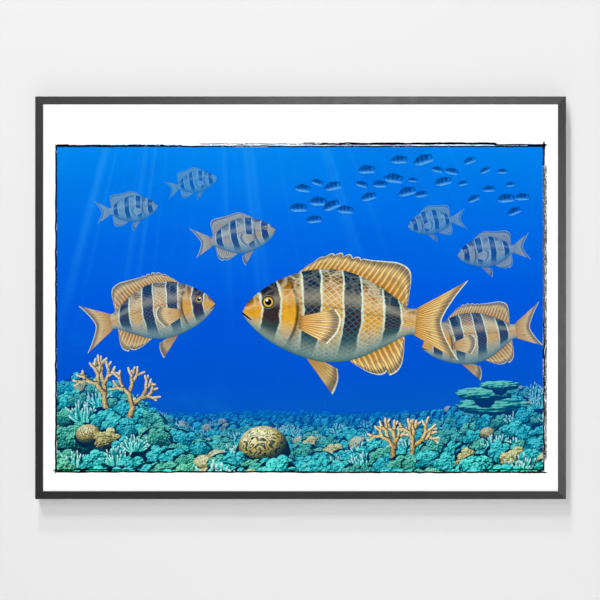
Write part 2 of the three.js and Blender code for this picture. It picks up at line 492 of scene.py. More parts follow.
@dataclass(frozen=True)
class Hardboard(Finish):
    """Brown pressed fibre board, smooth on its outer face."""

    def wire(self, graph: Coat) -> None:
        """Draws felted fibres, darker flecks and a few pale scuffs.

        Args:
            graph: the new material's node tree.
        """
        point = graph.object_point()
        streaks, flecks = graph.place(GRAIN, point, (420.0, 420.0, 300.0))
        colour, clouds, dust = graph.place(MOTTLE, point, 9.0, "85603f", "6d4c30", "9b7550", 0.6)
        colour = graph.mix(flecks * 0.45, colour, "4a3220")
        colour = graph.mix(dust * 0.35, colour, "b59a78")
        graph.lay(colour, clouds.span(0.62, 0.82), streaks, 0.25, 0.0002)


@dataclass(frozen=True)
class Metal(Finish):
    """Stamped and drawn metal with fine lines and dull spots."""

    bright: str = "b9bbbd"  # the clean metal's colour
    dull: str = "77797b"  # the colour where it is oxidised

    def wire(self, graph: Coat) -> None:
        """Draws rolling lines under patches of tarnish.

        Args:
            graph: the new material's node tree.
        """
        point = graph.object_point()
        lines = graph.place(GRAIN, point, (500.0, 2500.0, 4200.0))[0]
        colour, clouds, dust = graph.place(MOTTLE, point, 260.0, self.bright, self.dull, self.bright, 0.7)
        colour = graph.mix(dust * 0.5, colour, self.dull)
        graph.lay(colour, clouds.span(0.42, 0.24) + lines * 0.1, lines, 0.2, 0.00008, Metallic=1.0)


@dataclass(frozen=True)
class Rubber(Finish):
    """Matte black moulded rubber with a bloom of dust."""

    def wire(self, graph: Coat) -> None:
        """Draws a fine moulded skin with dust in it.

        Args:
            graph: the new material's node tree.
        """
        point = graph.object_point()
        colour, clouds, dust = graph.place(MOTTLE, point, 400.0, "1c1c1d", "131314", "2b2b2c", 0.6)
        colour = graph.mix(dust * 0.6, colour, "57544f")
        graph.lay(colour, clouds.span(0.75, 0.92), clouds, 0.3, 0.0001)


@dataclass(frozen=True)
class StudioPaint(Finish):
    """Plain pale paint for the wall and the floor."""

    colour: str = "d0d0d0"  # its colour
    see_through_back: bool = False  # whether its back can be looked through

    def wire(self, graph: Coat) -> None:
        """Draws a hardly uneven roller coat.

        Args:
            graph: the new material's node tree.
        """
        point = graph.object_point()
        darker = tuple(0.985 * part for part in tint(self.colour)[:3]) + (1.0,)
        tone = graph.noise(point, 1.2, 3.0)
        graph.lay(graph.mix(tone, darker, self.colour), tone.span(0.88, 0.92),
                graph.noise(point, 500.0, 3.0), 0.04, 0.0004)
        if self.see_through_back:
            clear = graph.node("ShaderNodeBsdfTransparent")
            behind = graph.node("ShaderNodeNewGeometry", output="Backfacing")
            painted = Signal(graph, graph.tree.nodes["Principled BSDF"].outputs[0])
            both = graph.node("ShaderNodeMixShader", {0: behind, 1: painted, 2: clear})
            graph.feed(graph.tree.nodes["Material Output"].inputs["Surface"], both)


BLACK_STAIN_ALONG = StainedWood("Black stain, grain along X")
BLACK_STAIN_UP = StainedWood("Black stain, grain along Z", stretch=(900.0, 900.0, 9.0))
GLAZING_FINISH = ClearAcrylic("Clear acrylic")
PAPER_FINISH = Paper("Matte paper")
BOARD_FINISH = Hardboard("Hardboard")
STEEL = Metal("Spring steel")
BRASS = Metal("Brass plate", bright="d9b565", dull="8a6a35")
RUBBER = Rubber("Black rubber")


# ---- Meshes ----


def link(name: str, mesh: bpy.types.ID) -> Thing:
    """Puts a mesh, a light or a camera into the scene as a new object.

    Args:
        name: the object's name.
        mesh: what it shows.

    Returns:
        The object.
    """
    made = bpy.data.objects.new(name, mesh)
    bpy.context.scene.collection.objects.link(made)
    return made


def mesh_from(name: str, points: Iterable[Sequence[float]], faces: Iterable[Sequence[int]],
              edges: Iterable[Sequence[int]] = ()) -> Mesh:
    """A mesh from lists of points, edges and faces.

    Args:
        name: the mesh's name.
        points: its points, in metres.
        faces: its faces.
        edges: its loose edges.

    Returns:
        The mesh.
    """
    mesh = bpy.data.meshes.new(name)
    mesh.from_pydata([tuple(p) for p in points], [tuple(e) for e in edges], [tuple(f) for f in faces])
    mesh.update()
    return mesh


def tidy_mesh(mesh: Mesh, sharp_angle: float = 35.0) -> None:
    """Merges doubles, points the faces outwards and shades the rounds smooth up to a sharp angle.

    Args:
        mesh: the mesh, changed in place.
        sharp_angle: the angle, in degrees.
    """
    work = bmesh.new()
    work.from_mesh(mesh)
    bmesh.ops.remove_doubles(work, verts=work.verts, dist=1e-7)
    bmesh.ops.recalc_face_normals(work, faces=work.faces)
    for face in work.faces:
        face.smooth = True
    work.to_mesh(mesh)
    work.free()
    mesh.set_sharp_from_angle(angle=math.radians(sharp_angle))


def thicken(outline: Sequence[Spot], thickness: float, bevel: float, segments: int = 2) -> Mesh:
    """A plate with softened edges.

    Args:
        outline: its outline in X and Z, in mm.
        thickness: how thick it is about y = 0, in mm.
        bevel: the width of its soft edges, in mm.
        segments: how many facets they have.

    Returns:
        The mesh.
    """
    work = bmesh.new()
    front = [work.verts.new((x * MM, -thickness / 2 * MM, z * MM)) for x, z in outline]
    made = bmesh.ops.extrude_face_region(work, geom=[work.faces.new(front)])
    moved = [v for v in made["geom"] if isinstance(v, bmesh.types.BMVert)]
    bmesh.ops.translate(work, verts=moved, vec=(0.0, thickness * MM, 0.0))
    bmesh.ops.recalc_face_normals(work, faces=work.faces)
    rims = [e for e in work.edges if abs(e.verts[0].co.y - e.verts[1].co.y) < 1e-7]
    bmesh.ops.bevel(work, geom=rims, offset=bevel * MM, segments=segments, affect="EDGES")
    mesh = bpy.data.meshes.new("Plate")
    work.to_mesh(mesh)
    work.free()
    return mesh


def lathe(profile: Sequence[Spot], sides: int) -> Mesh:
    """A shape turned about the Y axis, from (radius, y) points in mm.

    Args:
        profile: the points.
        sides: how many facets go round.

    Returns:
        The mesh.
    """
    turns = np.linspace(0, 2 * np.pi, sides, endpoint=False)
    points, faces = [], []
    for radius, y in profile:
        points += [(radius * MM * math.cos(a), y * MM, radius * MM * math.sin(a)) for a in turns]
    for row in range(len(profile) - 1):
        for i in range(sides):
            j = (i + 1) % sides
            faces.append((row * sides + i, row * sides + j, (row + 1) * sides + j, (row + 1) * sides + i))
    mesh = mesh_from("Turned", points, faces)
    tidy_mesh(mesh)
    return mesh


def close_skin(tris: np.ndarray, count: int) -> tuple[list[list[int]], list[tuple[int, int]]]:
    """Makes a thin closed skin of a flat cut, whose back points follow its front ones.

    Args:
        tris: the front's triangles.
        count: how many front points there are.

    Returns:
        All faces, and the triangle and corner where each rim face starts.
    """
    seen: dict[Spot, tuple[int, int]] = {}
    for number, tri in enumerate(tris.tolist()):
        for i in range(3):
            a, b = tri[i], tri[(i + 1) % 3]
            if seen.pop((b, a), None) is None:
                seen[(a, b)] = (number, i)
    faces = [*tris.tolist(), *(tris[:, ::-1] + count).tolist()]
    faces += [[b, a, a + count, b + count] for a, b in seen]
    return faces, list(seen.values())


class GeometryTree:
    """A Geometry Nodes tree with named inputs, which ends in Realize Instances and Set Material."""

    def __init__(self, name: str, inputs: dict[str, float]) -> None:
        """Starts the tree, with each named input's starting value.

        Args:
            name: the tree's name.
            inputs: the named inputs.
        """
        self.tree = bpy.data.node_groups.new(name, "GeometryNodeTree")
        sockets = self.tree.interface.new_socket
        sockets("Geometry", in_out="INPUT", socket_type="NodeSocketGeometry")
        sockets("Geometry", in_out="OUTPUT", socket_type="NodeSocketGeometry")
        self.keys = {
            label: sockets(label, in_out="INPUT", socket_type=f"NodeSocket{KINDS[type(start)]}").identifier
            for label, start in {**inputs, "Material": None}.items()}
        self.graph = Graph(self.tree)
        outputs = self.graph.add("NodeGroupInput").outputs
        self.inputs = {output.name: Signal(self.graph, output) for output in outputs if output.name}

    def add(self, kind: str, settings: dict | None = None, **inputs: object) -> Signal:
        """Adds a geometry node and gives its first output; _ in an input's name stands for a space."""
        named = {name.replace("_", " "): value for name, value in inputs.items()}
        return self.graph.node(f"GeometryNode{kind}", named, **(settings or {}))

    def any(self, low: object, high: object, seed: Signal) -> Signal:
        """A random vector between two, for each point."""
        inputs = {0: low, 1: high, "Seed": seed}
        return self.graph.node("FunctionNodeRandomValue", inputs, data_type="FLOAT_VECTOR")

    def across(self, width: Signal) -> Signal:
        """A line across a ribbon of this width."""
        half, vector = width * 0.5, self.graph.vector
        return self.add("CurvePrimitiveLine", Start=vector(0.0, half * -1.0), End=vector(0.0, half))

    def finish(self, geometry: Signal) -> None:
        """Ends the tree from this geometry.

        Args:
            geometry: what is realised and dressed.
        """
        real = self.add("RealizeInstances", Geometry=geometry)
        dressed = self.add("SetMaterial", Geometry=real, Material=self.inputs["Material"])
        self.graph.add("NodeGroupOutput", {0: dressed})

    def grow(self, name: str, base: Mesh, material: bpy.types.Material,
             **values: float) -> Thing:
        """Runs the tree on a base mesh and keeps the result as a plain mesh.

        Args:
            name: the new object's name.
            base: the mesh that the tree starts from.
            material: what the result is made of.
            values: the named inputs, with _ for a space.

        Returns:
            The object.
        """
        made = link(name, base)
        modifier = made.modifiers.new("Shape", "NODES")
        modifier.node_group = self.tree
        modifier[self.keys["Material"]] = material
        for label, value in values.items():
            modifier[self.keys[label.replace("_", " ").capitalize()]] = value
        bpy.context.view_layer.update()
        depsgraph = bpy.context.evaluated_depsgraph_get()
        made.data = bpy.data.meshes.new_from_object(made.evaluated_get(depsgraph))
        made.modifiers.clear()
        bpy.data.meshes.remove(base)
        return made


def hand_over(piece: Thing, slot: str, *nodes: str) -> None:
    """Makes a finished piece ride with the body in place of these nodes, which it hides.

    Args:
        piece: the piece.
        slot: not used.
        nodes: the CAD nodes that it replaces.
    """
    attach(piece, BODY)
    if nodes:
        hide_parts(*nodes)
    log.info("%s: %d faces", piece.name, len(piece.data.polygons))


def arc(centre: Spot, radius: float, start: float, end: float, steps: int) -> list[Spot]:
    """Points on an arc, from one angle in degrees to another."""
    turns = np.radians(np.linspace(start, end, steps + 1))
    return [(centre[0] + radius * math.cos(a), centre[1] + radius * math.sin(a)) for a in turns]


# ---- The frame ----


class Side(Enum):
    """The frame's four sides: the CAD bar, its points' name and its turn about Y in degrees."""

    TOP = ("rail_top", "point_top", 0)
    RIGHT = ("stile_right", "point_right", 90)
    BOTTOM = ("rail_bottom", "point_bottom", 180)
    LEFT = ("stile_left", "point_left", 270)

    def __init__(self, bar: str, points: str, degrees: float) -> None:
        """Names the parts of the value.

        Args:
            bar: the CAD bar.
            points: how its points' names start.
            degrees: its turn about Y.
        """
        self.bar = bar
        self.points = points
        self.turn = math.radians(degrees)
        self.level = degrees % 180 == 0


class Outline:
    """The frame's outer rectangle and the depths in it, read from the CAD nodes."""

    def __init__(self) -> None:
        """Reads the boxes of the bars."""
        top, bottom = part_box(Side.TOP.bar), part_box(Side.BOTTOM.bar)
        left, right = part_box(Side.LEFT.bar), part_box(Side.RIGHT.bar)
        self.low = Vector((left[0].x, top[0].y, bottom[0].z))
        self.high = Vector((right[1].x, top[1].y, top[1].z))
        self.middle = (self.low + self.high) / 2
        self.wood_back = top[1].y
        self.face = (top[1].z - top[0].z) / MM
        self.depth = (top[1].y - top[0].y) / MM

    def length(self, side: Side) -> float:
        """A side's outer length."""
        size = self.high - self.low
        return size.x if side.level else size.z

    def lay(self, mesh: Mesh, side: Side) -> None:
        """Lays a mesh made on a bar along X, with its outer edge at z = 0 and its back at y = 0.

        Args:
            mesh: the mesh, changed in place.
            side: the side that it goes to.
        """
        size = self.high - self.low
        out = Matrix.Translation((0.0, 0.0, (size.z if side.level else size.x) / 2))
        to_middle = Matrix.Translation((self.middle.x, self.wood_back, self.middle.z))
        mesh.transform(to_middle @ Matrix.Rotation(side.turn, 4, "Y") @ out)


@dataclass
class Moulding:
    """The four mitred bars: a rebated section swept along each side."""

    outline: Outline
    lip: float = 3.0  # the lip's thickness in front of the glazing, in mm
    overlap: float = 4.0  # how far the lip covers the sheet, in mm
    fit: float = 0.5  # the room between the sheet's edge and the rebate's side, in mm
    outer_round: float = 0.8  # the radius of the outer front arris, in mm
    sight_round: float = 0.6  # the radius of the inner front arris, in mm
    back_round: float = 0.5  # the radius of the outer back arris, in mm
    mitre_gap: float = 0.1  # half of the seam at a mitre, in mm
    arc_steps: int = 6  # facets in each quarter round
    run: float = 12.0  # the length of one step along a bar, in mm
    bake_rows: int = 4  # how many rows a bar is folded into on its bake map
    bake_room: float = 0.05  # the room at each end of such a row, as a share of it
    support: float = 0.12  # the strip beside a round that keeps the flats flat, in mm

    @property
    def wall(self) -> float:
        """The rebate's side, in from the outer edge, in mm."""
        return self.outline.face - self.overlap - self.fit

    def section(self) -> list[Spot]:
        """The section as (distance in front of the back, distance in from the outer edge), in mm.

        Returns:
            The points, once round.
        """
        depth, face, steps, near = self.outline.depth, self.outline.face, self.arc_steps, self.support
        outer, sight, back = self.outer_round, self.sight_round, self.back_round
        return [
            (0.0, back + near), *arc((back, back), back, 180, 270, steps), (back + near, 0.0),
            (depth - outer - near, 0.0), *arc((depth - outer, outer), outer, 270, 360, steps),
            (depth, outer + near), (depth, face - sight - near),
            *arc((depth - sight, face - sight), sight, 0, 90, steps),
            (depth - sight - near, face), (depth - self.lip, face),
            (depth - self.lip, self.wall), (0.0, self.wall),
        ]

    def sweep_tree(self) -> GeometryTree:
        """A tree that sweeps a closed section along X and cuts both ends to mitres.

        Returns:
            The tree.
        """
        made = GeometryTree("Mitred bar", {"Length": 0.5, "Steps": 20, "Set back": 0.0001})
        graph, inputs = made.graph, made.inputs
        half = inputs["Length"] * 0.5
        line = made.add("CurvePrimitiveLine", Start=graph.vector(half * -1.0), End=graph.vector(half))
        path = made.add("ResampleCurve", Curve=line, Count=inputs["Steps"])
        section = made.add("MeshToCurve", Mesh=inputs["Geometry"])
        swept = made.add("CurveToMesh", Curve=path, Profile_Curve=section, Fill_Caps=True)
        x, y, z = made.add("InputPosition").parts()
        shorter = (half - (inputs["Set back"] - z)) / half
        made.finish(made.add("SetPosition", Geometry=swept, Position=graph.vector(x * shorter, y, z)))
        return made

    def arris(self, front: float, inward: float) -> float:
        """How much a place on the section takes wear: 1 on a front arris and 0 on the flats.

        Args:
            front: the place's distance in front of the back, in mm.
            inward: its distance in from the outer edge, in mm.

        Returns:
            The wear.
        """
        off = self.outline.depth - front
        nearest = min(math.hypot(off, inward), math.hypot(off, self.outline.face - inward))
        return max(0.0, 1.0 - nearest / (1.4 * self.outer_round))

    def map_bar(self, mesh: Mesh, length: float) -> None:
        """Writes a bar's pattern map, with its worn arrises, and its folded bake map.

        Args:
            mesh: the bar.
            length: its outer length, in metres.
        """
        section = self.section()
        steps = np.diff(np.array([*section, section[0]]), axis=0)
        along = np.concatenate([[0.0], np.cumsum(np.hypot(*steps.T))]) * MM
        bake = mesh.uv_layers.new(name=BAKE_MAP)
        form = mesh.uv_layers.new(name=FORM_MAP)
        row, height, cap_room = length / self.bake_rows, along[-1] + 2 * MM, self.outline.face * MM
        unit = 1 / max(row * (1 + 2 * self.bake_room), self.bake_rows * height + cap_room)
        places = {(round(p[0], 3), round(p[1], 3)): i for i, p in enumerate(section)}
        for face in mesh.polygons:
            spots = [mesh.vertices[v].co for v in face.vertices]
            keys = [places[round(-s.y / MM, 3), round(-s.z / MM, 3)] for s in spots]
            wraps = {0, len(section) - 1} <= set(keys)
            middle = sum(s.x for s in spots) / len(spots) + length / 2
            band = min(int(middle / row), self.bake_rows - 1)
            for loop, spot, key in zip(face.loop_indices, spots, keys):
                form.data[loop].uv = (spot.x, self.arris(*section[key]))
                if len(keys) > 4:
                    u = (0.0 if spot.x < 0 else 2 * cap_room) - spot.y
                    v = self.bake_rows * height - spot.z
                else:
                    u = spot.x + length / 2 - band * row + self.bake_room * row
                    v = band * height + (along[-1] if wraps and key == 0 else along[key]) + MM
                bake.data[loop].uv = (u * unit, v * unit)

    def build(self) -> None:
        """Builds, dresses and hands over the four bars."""
        tree = self.sweep_tree()
        section = [(front * MM, inward * MM, 0.0) for front, inward in self.section()]
        ring = [(i, (i + 1) % len(section)) for i in range(len(section))]
        set_back = self.mitre_gap * MM * math.sqrt(2)
        for side in Side:
            length = self.outline.length(side)
            finish = BLACK_STAIN_ALONG if side.level else BLACK_STAIN_UP
            bar = tree.grow(
                f"moulding_{side.name.lower()}", mesh_from("Section", section, (), ring), finish.material(),
                length=length, steps=int(length / MM / self.run), set_back=set_back)
            self.map_bar(bar.data, length)
            tidy_mesh(bar.data)
            self.outline.lay(bar.data, side)
            hand_over(bar, "frame_wood", side.bar)


# ---- What is fixed to the frame ----


def row_tree() -> GeometryTree:
    """A tree that sets copies of a blank along X at even steps, each a little out of line.

    Returns:
        The tree.
    """
    made = GeometryTree("Driven row", {"Length": 0.5, "Count": 4, "Lift": 0.05, "Seed": 3})
    graph, inputs = made.graph, made.inputs
    step = inputs["Length"] / inputs["Count"]
    start = graph.vector((step - inputs["Length"]) * 0.5)
    line = made.add("MeshLine", Count=inputs["Count"], Start_Location=start, Offset=graph.vector(step))
    back, little = inputs["Lift"] * -1.0, inputs["Lift"] * 0.15
    turn = made.any(graph.vector(back, back, little * -1.0), graph.vector(little, inputs["Lift"], little),
                    inputs["Seed"])
    made.finish(made.add("InstanceOnPoints", Points=line, Instance=inputs["Geometry"], Rotation=turn))
    return made


@dataclass
class Points:
    """Flat steel points driven into the rebate to hold the back in."""

    outline: Outline
    wall: float  # the rebate's side, in from the outer edge, in mm
    length: float = 15.0  # a point's length, in mm
    width: float = 6.0  # its width
    thickness: float = 0.6  # its thickness
    tip: float = 2.0  # the length of its sharp end
    blunt: float = 1.0  # the round at the corners of its inner end
    notch: float = 0.4  # the depth of the notch in each side
    notch_half: float = 0.5  # half of the notch's width
    notch_at: float = 2.5  # how far it is below the shoulder
    soft_edge: float = 0.12  # the width of its soft edges
    driven: float = 5.0  # how far its sharp end is in the wood
    lift: float = 0.04  # how far it turns out of line, in radians

    def blank(self) -> Mesh:
        """One stamped point about its own middle, its sharp end up, with notched sides.

        Returns:
            The mesh.
        """
        half, top, low = self.width / 2, self.length / 2, -self.length / 2
        shoulder = top - self.tip
        notch = shoulder - self.notch_at
        side = [(half, shoulder), (half, notch + self.notch_half), (half - self.notch, notch),
                (half, notch - self.notch_half)]
        side += arc((half - self.blunt, low + self.blunt), self.blunt, 0, -90, 4)
        mirrored = [(-x, z) for x, z in reversed(side)]
        return thicken([(0.0, top), *side, *mirrored], self.thickness, self.soft_edge)

    def build(self, tree: GeometryTree) -> None:
        """Builds one piece of points for each side.

        Args:
            tree: what sets them in rows.
        """
        inward = (self.wall - self.driven + self.length / 2) * MM
        for number, side in enumerate(Side):
            nodes = sorted(n for n in frame["nodes"] if n.startswith(side.points))
            piece = tree.grow(side.points + "s", self.blank(), STEEL.material(), lift=self.lift,
                              length=self.outline.length(side), count=len(nodes), seed=number + 2)
            low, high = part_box(nodes[0])
            depth = (low.y + high.y) / 2 - self.outline.wood_back
            piece.data.transform(Matrix.Translation((0.0, depth, -inward)))
            tidy_mesh(piece.data)
            self.outline.lay(piece.data, side)
            hand_over(piece, "spring_steel", *nodes)


@dataclass
class Hangers:
    """The two toothed brass hangers on the top bar, each on two nails."""

    foot_end: float = 14.0  # where the flat feet end, from a hanger's middle, in mm
    bridge_end: float = 11.0  # where the raised bridge starts
    rise: float = 1.0  # how far the bridge stands off
    thickness: float = 0.8  # the plate's thickness
    pitch: float = 2.0  # the teeth's pitch
    tooth: float = 1.3  # their depth
    tooth_foot: float = 0.12  # half of the flat at a tooth's foot
    tooth_top: float = 0.15  # half of the flat at its top
    teeth: int = 9  # how many there are
    nail_at: float = 18.0  # where the nails are, from the middle
    hole: float = 0.85  # a nail hole's radius
    end_round: float = 2.2  # the radius of the plate's corners
    sharp_angle: float = 25.0  # the angle up to which its bends are shaded smooth, in degrees
    nail_clear: float = 0.05  # the gap under a nail's head
    nail_lift: float = 0.02  # how far a nail turns out of line, in radians

    def outline(self, half: float, height: float) -> np.ndarray:
        """A hanger's outline about its middle, with its teeth below, in mm.

        Args:
            half: half of its length.
            height: its height.

        Returns:
            The points.
        """
        round_end = self.end_round
        low, top = -height / 2, height / 2
        comb: list[Spot] = []
        for i in range(self.teeth):
            start = (2 * i - self.teeth) * self.pitch / 2
            middle, top_of = start + self.pitch / 2, low + self.tooth
            comb += [(start + self.tooth_foot, low), (middle - self.tooth_top, top_of),
                     (middle + self.tooth_top, top_of), (start + self.pitch - self.tooth_foot, low)]
        ends = [((half - round_end, low + round_end), -90), ((half - round_end, top - round_end), 0),
                ((round_end - half, top - round_end), 90), ((round_end - half, low + round_end), 180)]
        corners_of = [arc(centre, round_end, start, start + 90, 6) for centre, start in ends]
        return np.array([*comb, *sum(corners_of, [])])

    def plate(self, half: float, height: float) -> tuple[np.ndarray, list[list[int]]]:
        """The bent plate's points and faces about its middle, its back foot at y = 0, in mm.

        Args:
            half: half of its length.
            height: its height.

        Returns:
            The points and the faces.
        """
        outline = self.outline(half, height)
        holes = [np.array(arc((x, 0.0), self.hole, 0, 345, 23)) for x in (-self.nail_at, self.nail_at)]
        bends = np.linspace(self.bridge_end, self.foot_end, 7)
        rims = (-height / 2, height / 2)
        lines = np.array([(sign * x, z) for x in bends for sign in (-1, 1) for z in rims])
        points = np.vstack([outline, *holes, lines])
        starts = np.cumsum([0, len(outline), *(len(hole) for hole in holes)])
        faces = [list(range(a, b)) for a, b in zip(starts, starts[1:])]
        edges = [(i, i + 1) for i in range(int(starts[-1]), len(points), 2)]
        found = delaunay_2d_cdt([Vector(p) for p in points.tolist()], edges, faces, 0, 1e-4, True)
        tris = np.array([tri for tri, origin in zip(found[2], found[5]) if origin == [0]])
        x, z = np.array([tuple(v) for v in found[0]]).T
        share = np.clip((self.foot_end - np.abs(x)) / (self.foot_end - self.bridge_end), 0, 1)
        lift = self.rise * share ** 2 * (3 - 2 * share)
        sheets = [np.stack([x, lift + extra, z], axis=1) for extra in (0.0, self.thickness)]
        return np.vstack(sheets), close_skin(tris, len(x))[0]

    def nail(self, clear: float) -> Mesh:
        """A round-headed nail whose head's underside is at y = clear, in mm.

        Args:
            clear: that depth.

        Returns:
            The mesh.
        """
        shank, head, rim, dome, point, taper, chamfer = 0.55, 1.6, 0.12, 0.5, 7.0, 1.2, 0.1
        turns = np.linspace(0, 1.5, 6)
        crown = [(head * math.cos(a), clear + rim + (dome - rim) * math.sin(a)) for a in turns]
        stem = [(0.0, clear - point), (shank, clear - point + taper), (shank, clear)]
        return lathe([*stem, (head - chamfer, clear), *crown, (0.0, clear + dome)], 20)

    def build(self, tree: GeometryTree) -> None:
        """Builds both hangers and their nails.

        Args:
            tree: what sets the nails in rows.
        """
        for seed, side in enumerate(("left", "right")):
            node = f"hanger_{side}"
            low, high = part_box(node)
            middle = (low + high) / 2
            points, faces = self.plate((high.x - low.x) / 2 / MM, (high.z - low.z) / MM)
            mesh = mesh_from(node, points * MM + np.array([middle.x, low.y, middle.z]), faces)
            tidy_mesh(mesh, self.sharp_angle)
            mesh.materials.append(BRASS.material())
            hand_over(link(f"toothed_hanger_{side}", mesh), "hanger_brass", node)
            nail = self.nail(self.thickness + self.nail_clear)
            nails = tree.grow(f"hanger_nails_{side}", nail, BRASS.material(), seed=seed,
                              length=4 * self.nail_at * MM, count=2, lift=self.nail_lift)
            nails.data.transform(Matrix.Translation((middle.x, low.y, middle.z)))
            tidy_mesh(nails.data)
            hand_over(nails, "hanger_brass", *(f"hanger_nail_{side}_{i}" for i in (1, 2)))


@dataclass
class Bumpers:
    """The two rubber wall bumpers at the lower corners."""

    foot: float = 0.7  # the height of the straight foot, in mm
    crown: float = 1.6  # the radius of the flat that meets the wall
    chamfer: float = 0.1  # the soft edge of the foot

    def build(self) -> None:
        """Builds both bumpers, each a low dome on a straight foot."""
        for side in ("left", "right"):
            node = f"bumper_{side}"
            low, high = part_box(node)
            middle, radius, thickness = (low + high) / 2, (high.x - low.x) / 2 / MM, (high.y - low.y) / MM
            turns = np.linspace(0, math.pi / 2, 9)
            dome = [(self.crown + (radius - self.crown) * math.cos(a),
                     self.foot + (thickness - self.foot) * math.sin(a)) for a in turns]
            foot = [(0.0, 0.0), (radius - self.chamfer, 0.0), (radius, self.chamfer)]
            mesh = lathe([*foot, *dome, (0.0, thickness)], 36)
            mesh.transform(Matrix.Translation((middle.x, low.y, middle.z)))
            mesh.materials.append(RUBBER.material())
            hand_over(link(f"rubber_bumper_{side}", mesh), "bumper", node)


def slab(name: str, node: str, finish: Finish, slot: str, front: float, bevel: float) -> None:
    """Builds a flat layer with soft edges in a CAD node's place.

    Args:
        name: the piece's name.
        node: the node that it replaces.
        finish: its finish.
        slot: passed on to hand_over, which does not use it.
        front: the depth of its front, in metres.
        bevel: the width of its soft edges, in mm.
    """
    low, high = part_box(node)
    size = (high - low) / MM
    mesh = thicken([(0.0, 0.0), (size.x, 0.0), (size.x, size.z), (0.0, size.z)], size.y, bevel)
    mesh.transform(Matrix.Translation((low.x, front + (high.y - low.y) / 2, low.z)))
    mesh.materials.append(finish.material())
    hand_over(link(name, mesh), slot, node)


def dress_nodes() -> None:
    """Gives the CAD nodes that stay their finishes."""
    for name, node in frame["nodes"].items():
        finish = GLAZING_FINISH if name == "glazing" else STEEL if name.startswith("corner_nail") else None
        if finish:
            node.data.materials.clear()
            node.data.materials.append(finish.material())
            log.info("%s: %s", name, finish.name)


# ---- Artwork: what it is painted with ----


def wire_water(graph: Graph, page: Signal) -> list[Signal]:
    """Draws open water: lighter above, with slanting rays and slow clouds of light.

    Args:
        graph: the group's tree.
        page: the place on the picture.

    Returns:
        The water's colour.
    """
    across, up, _ = page.parts()
    blue = graph.ramp(
        up - across * 0.04, (0.0, "0a5fae"), (0.14, "0659bd"), (0.28, "0152cc"),
        (0.5, "0059da"), (0.72, "006ae2"), (0.88, "007ae9"), (1.0, "0089f2"))
    fan = (across - up * 0.55 + 0.9) / (2.2 - up)
    rays = graph.noise(graph.vector(fan), 30.0, 3.0, 0.6).step(0.48, 0.7)
    reach = up.step(0.3, 1.0) * across.step(1.05, 0.1)
    clouds = graph.noise(page, 3.5, 4.0, 0.6)
    lit = graph.mix(rays * reach * 0.34, blue, "35aefc")
    lit = graph.mix(clouds.step(0.5, 0.8) * 0.2, lit, "1591f4")
    return [graph.mix(clouds.step(0.5, 0.25) * 0.22, lit, "0049c2")]


def wire_haze(graph: Graph, page: Signal, colour: Signal, haze: Signal) -> list[Signal]:
    """Sinks a colour into the water: the reds go first, then all of it turns to water blue."""
    cooled = graph.mix(haze * 1.4, colour, colour * "4fd6ff")
    return [graph.mix(haze, cooled, graph.place(WATER_COLOUR, page)[0])]


def wire_caustics(graph: Graph, page: Signal, scale: Signal) -> list[Signal]:
    """Draws the net of bright lines that waves throw on what lies below.

    Args:
        graph: the group's tree.
        page: the place on the picture.
        scale: how fine the net is.

    Returns:
        The net.
    """
    wide = page * (1.5, 1.0, 1.0)
    swirl = graph.node("ShaderNodeTexNoise", {"Vector": wide, "Scale": 7.0}, "Color")
    warped = wide + graph.vector(*swirl.parts()) * 0.09
    return [graph.cells(warped, scale, "DISTANCE_TO_EDGE").step(0.15, 0.0)]


def wire_lobe(graph: Graph, form: Signal, seed: Signal, knobs: Signal, relief: Signal) -> list[Signal]:
    """Lights a knobbly dome from the upper left and finds the dark gaps round its rim.

    Args:
        graph: the group's tree.
        form: the pattern map.
        seed: the lobe's own number.
        knobs: how many knobs cross it.
        relief: how strongly they catch the light.

    Returns:
        The shade and the gaps.
    """
    x, y, _ = form.parts()
    flat = x * x + y * y
    spot = form + graph.vector(seed * 97.0, seed * 31.0)
    here, there = (
        graph.noise(moved, knobs * 2.2, 3.0, 0.65) * 0.7 - graph.cells(moved, knobs, "SMOOTH_F1", 0.9)
        for moved in (spot, spot + (-0.08, 0.13, 0.0)))
    lit = y * 0.5 - x * 0.26 + (1.0 - flat).of("SQRT") * 0.4 + (here - there) * relief + here * 0.5
    return [lit * 0.66 + 0.46, (flat - here * 0.6).step(0.95, 1.3)]


WATER_COLOUR = ShaderGroup("Water colour", {"Page": ORIGIN}, {"Colour": "Color"}, wire_water)
WATER_HAZE = ShaderGroup(
    "Water haze", {"Page": ORIGIN, "Colour": GREY, "Haze": 0.0}, {"Colour": "Color"}, wire_haze)
CAUSTICS = ShaderGroup("Caustics", {"Page": ORIGIN, "Scale": 14.0}, {"Light": "Float"}, wire_caustics)
LOBE = ShaderGroup(
    "Coral lobe", {"Form": ORIGIN, "Seed": 0.0, "Knobs": 3.0, "Relief": 1.0},
    {"Shade": "Float", "Gap": "Float"}, wire_lobe)
PRINT_GAIN = 0.86  # how much darker the ink is than the seen tone, because the print is brightly lit


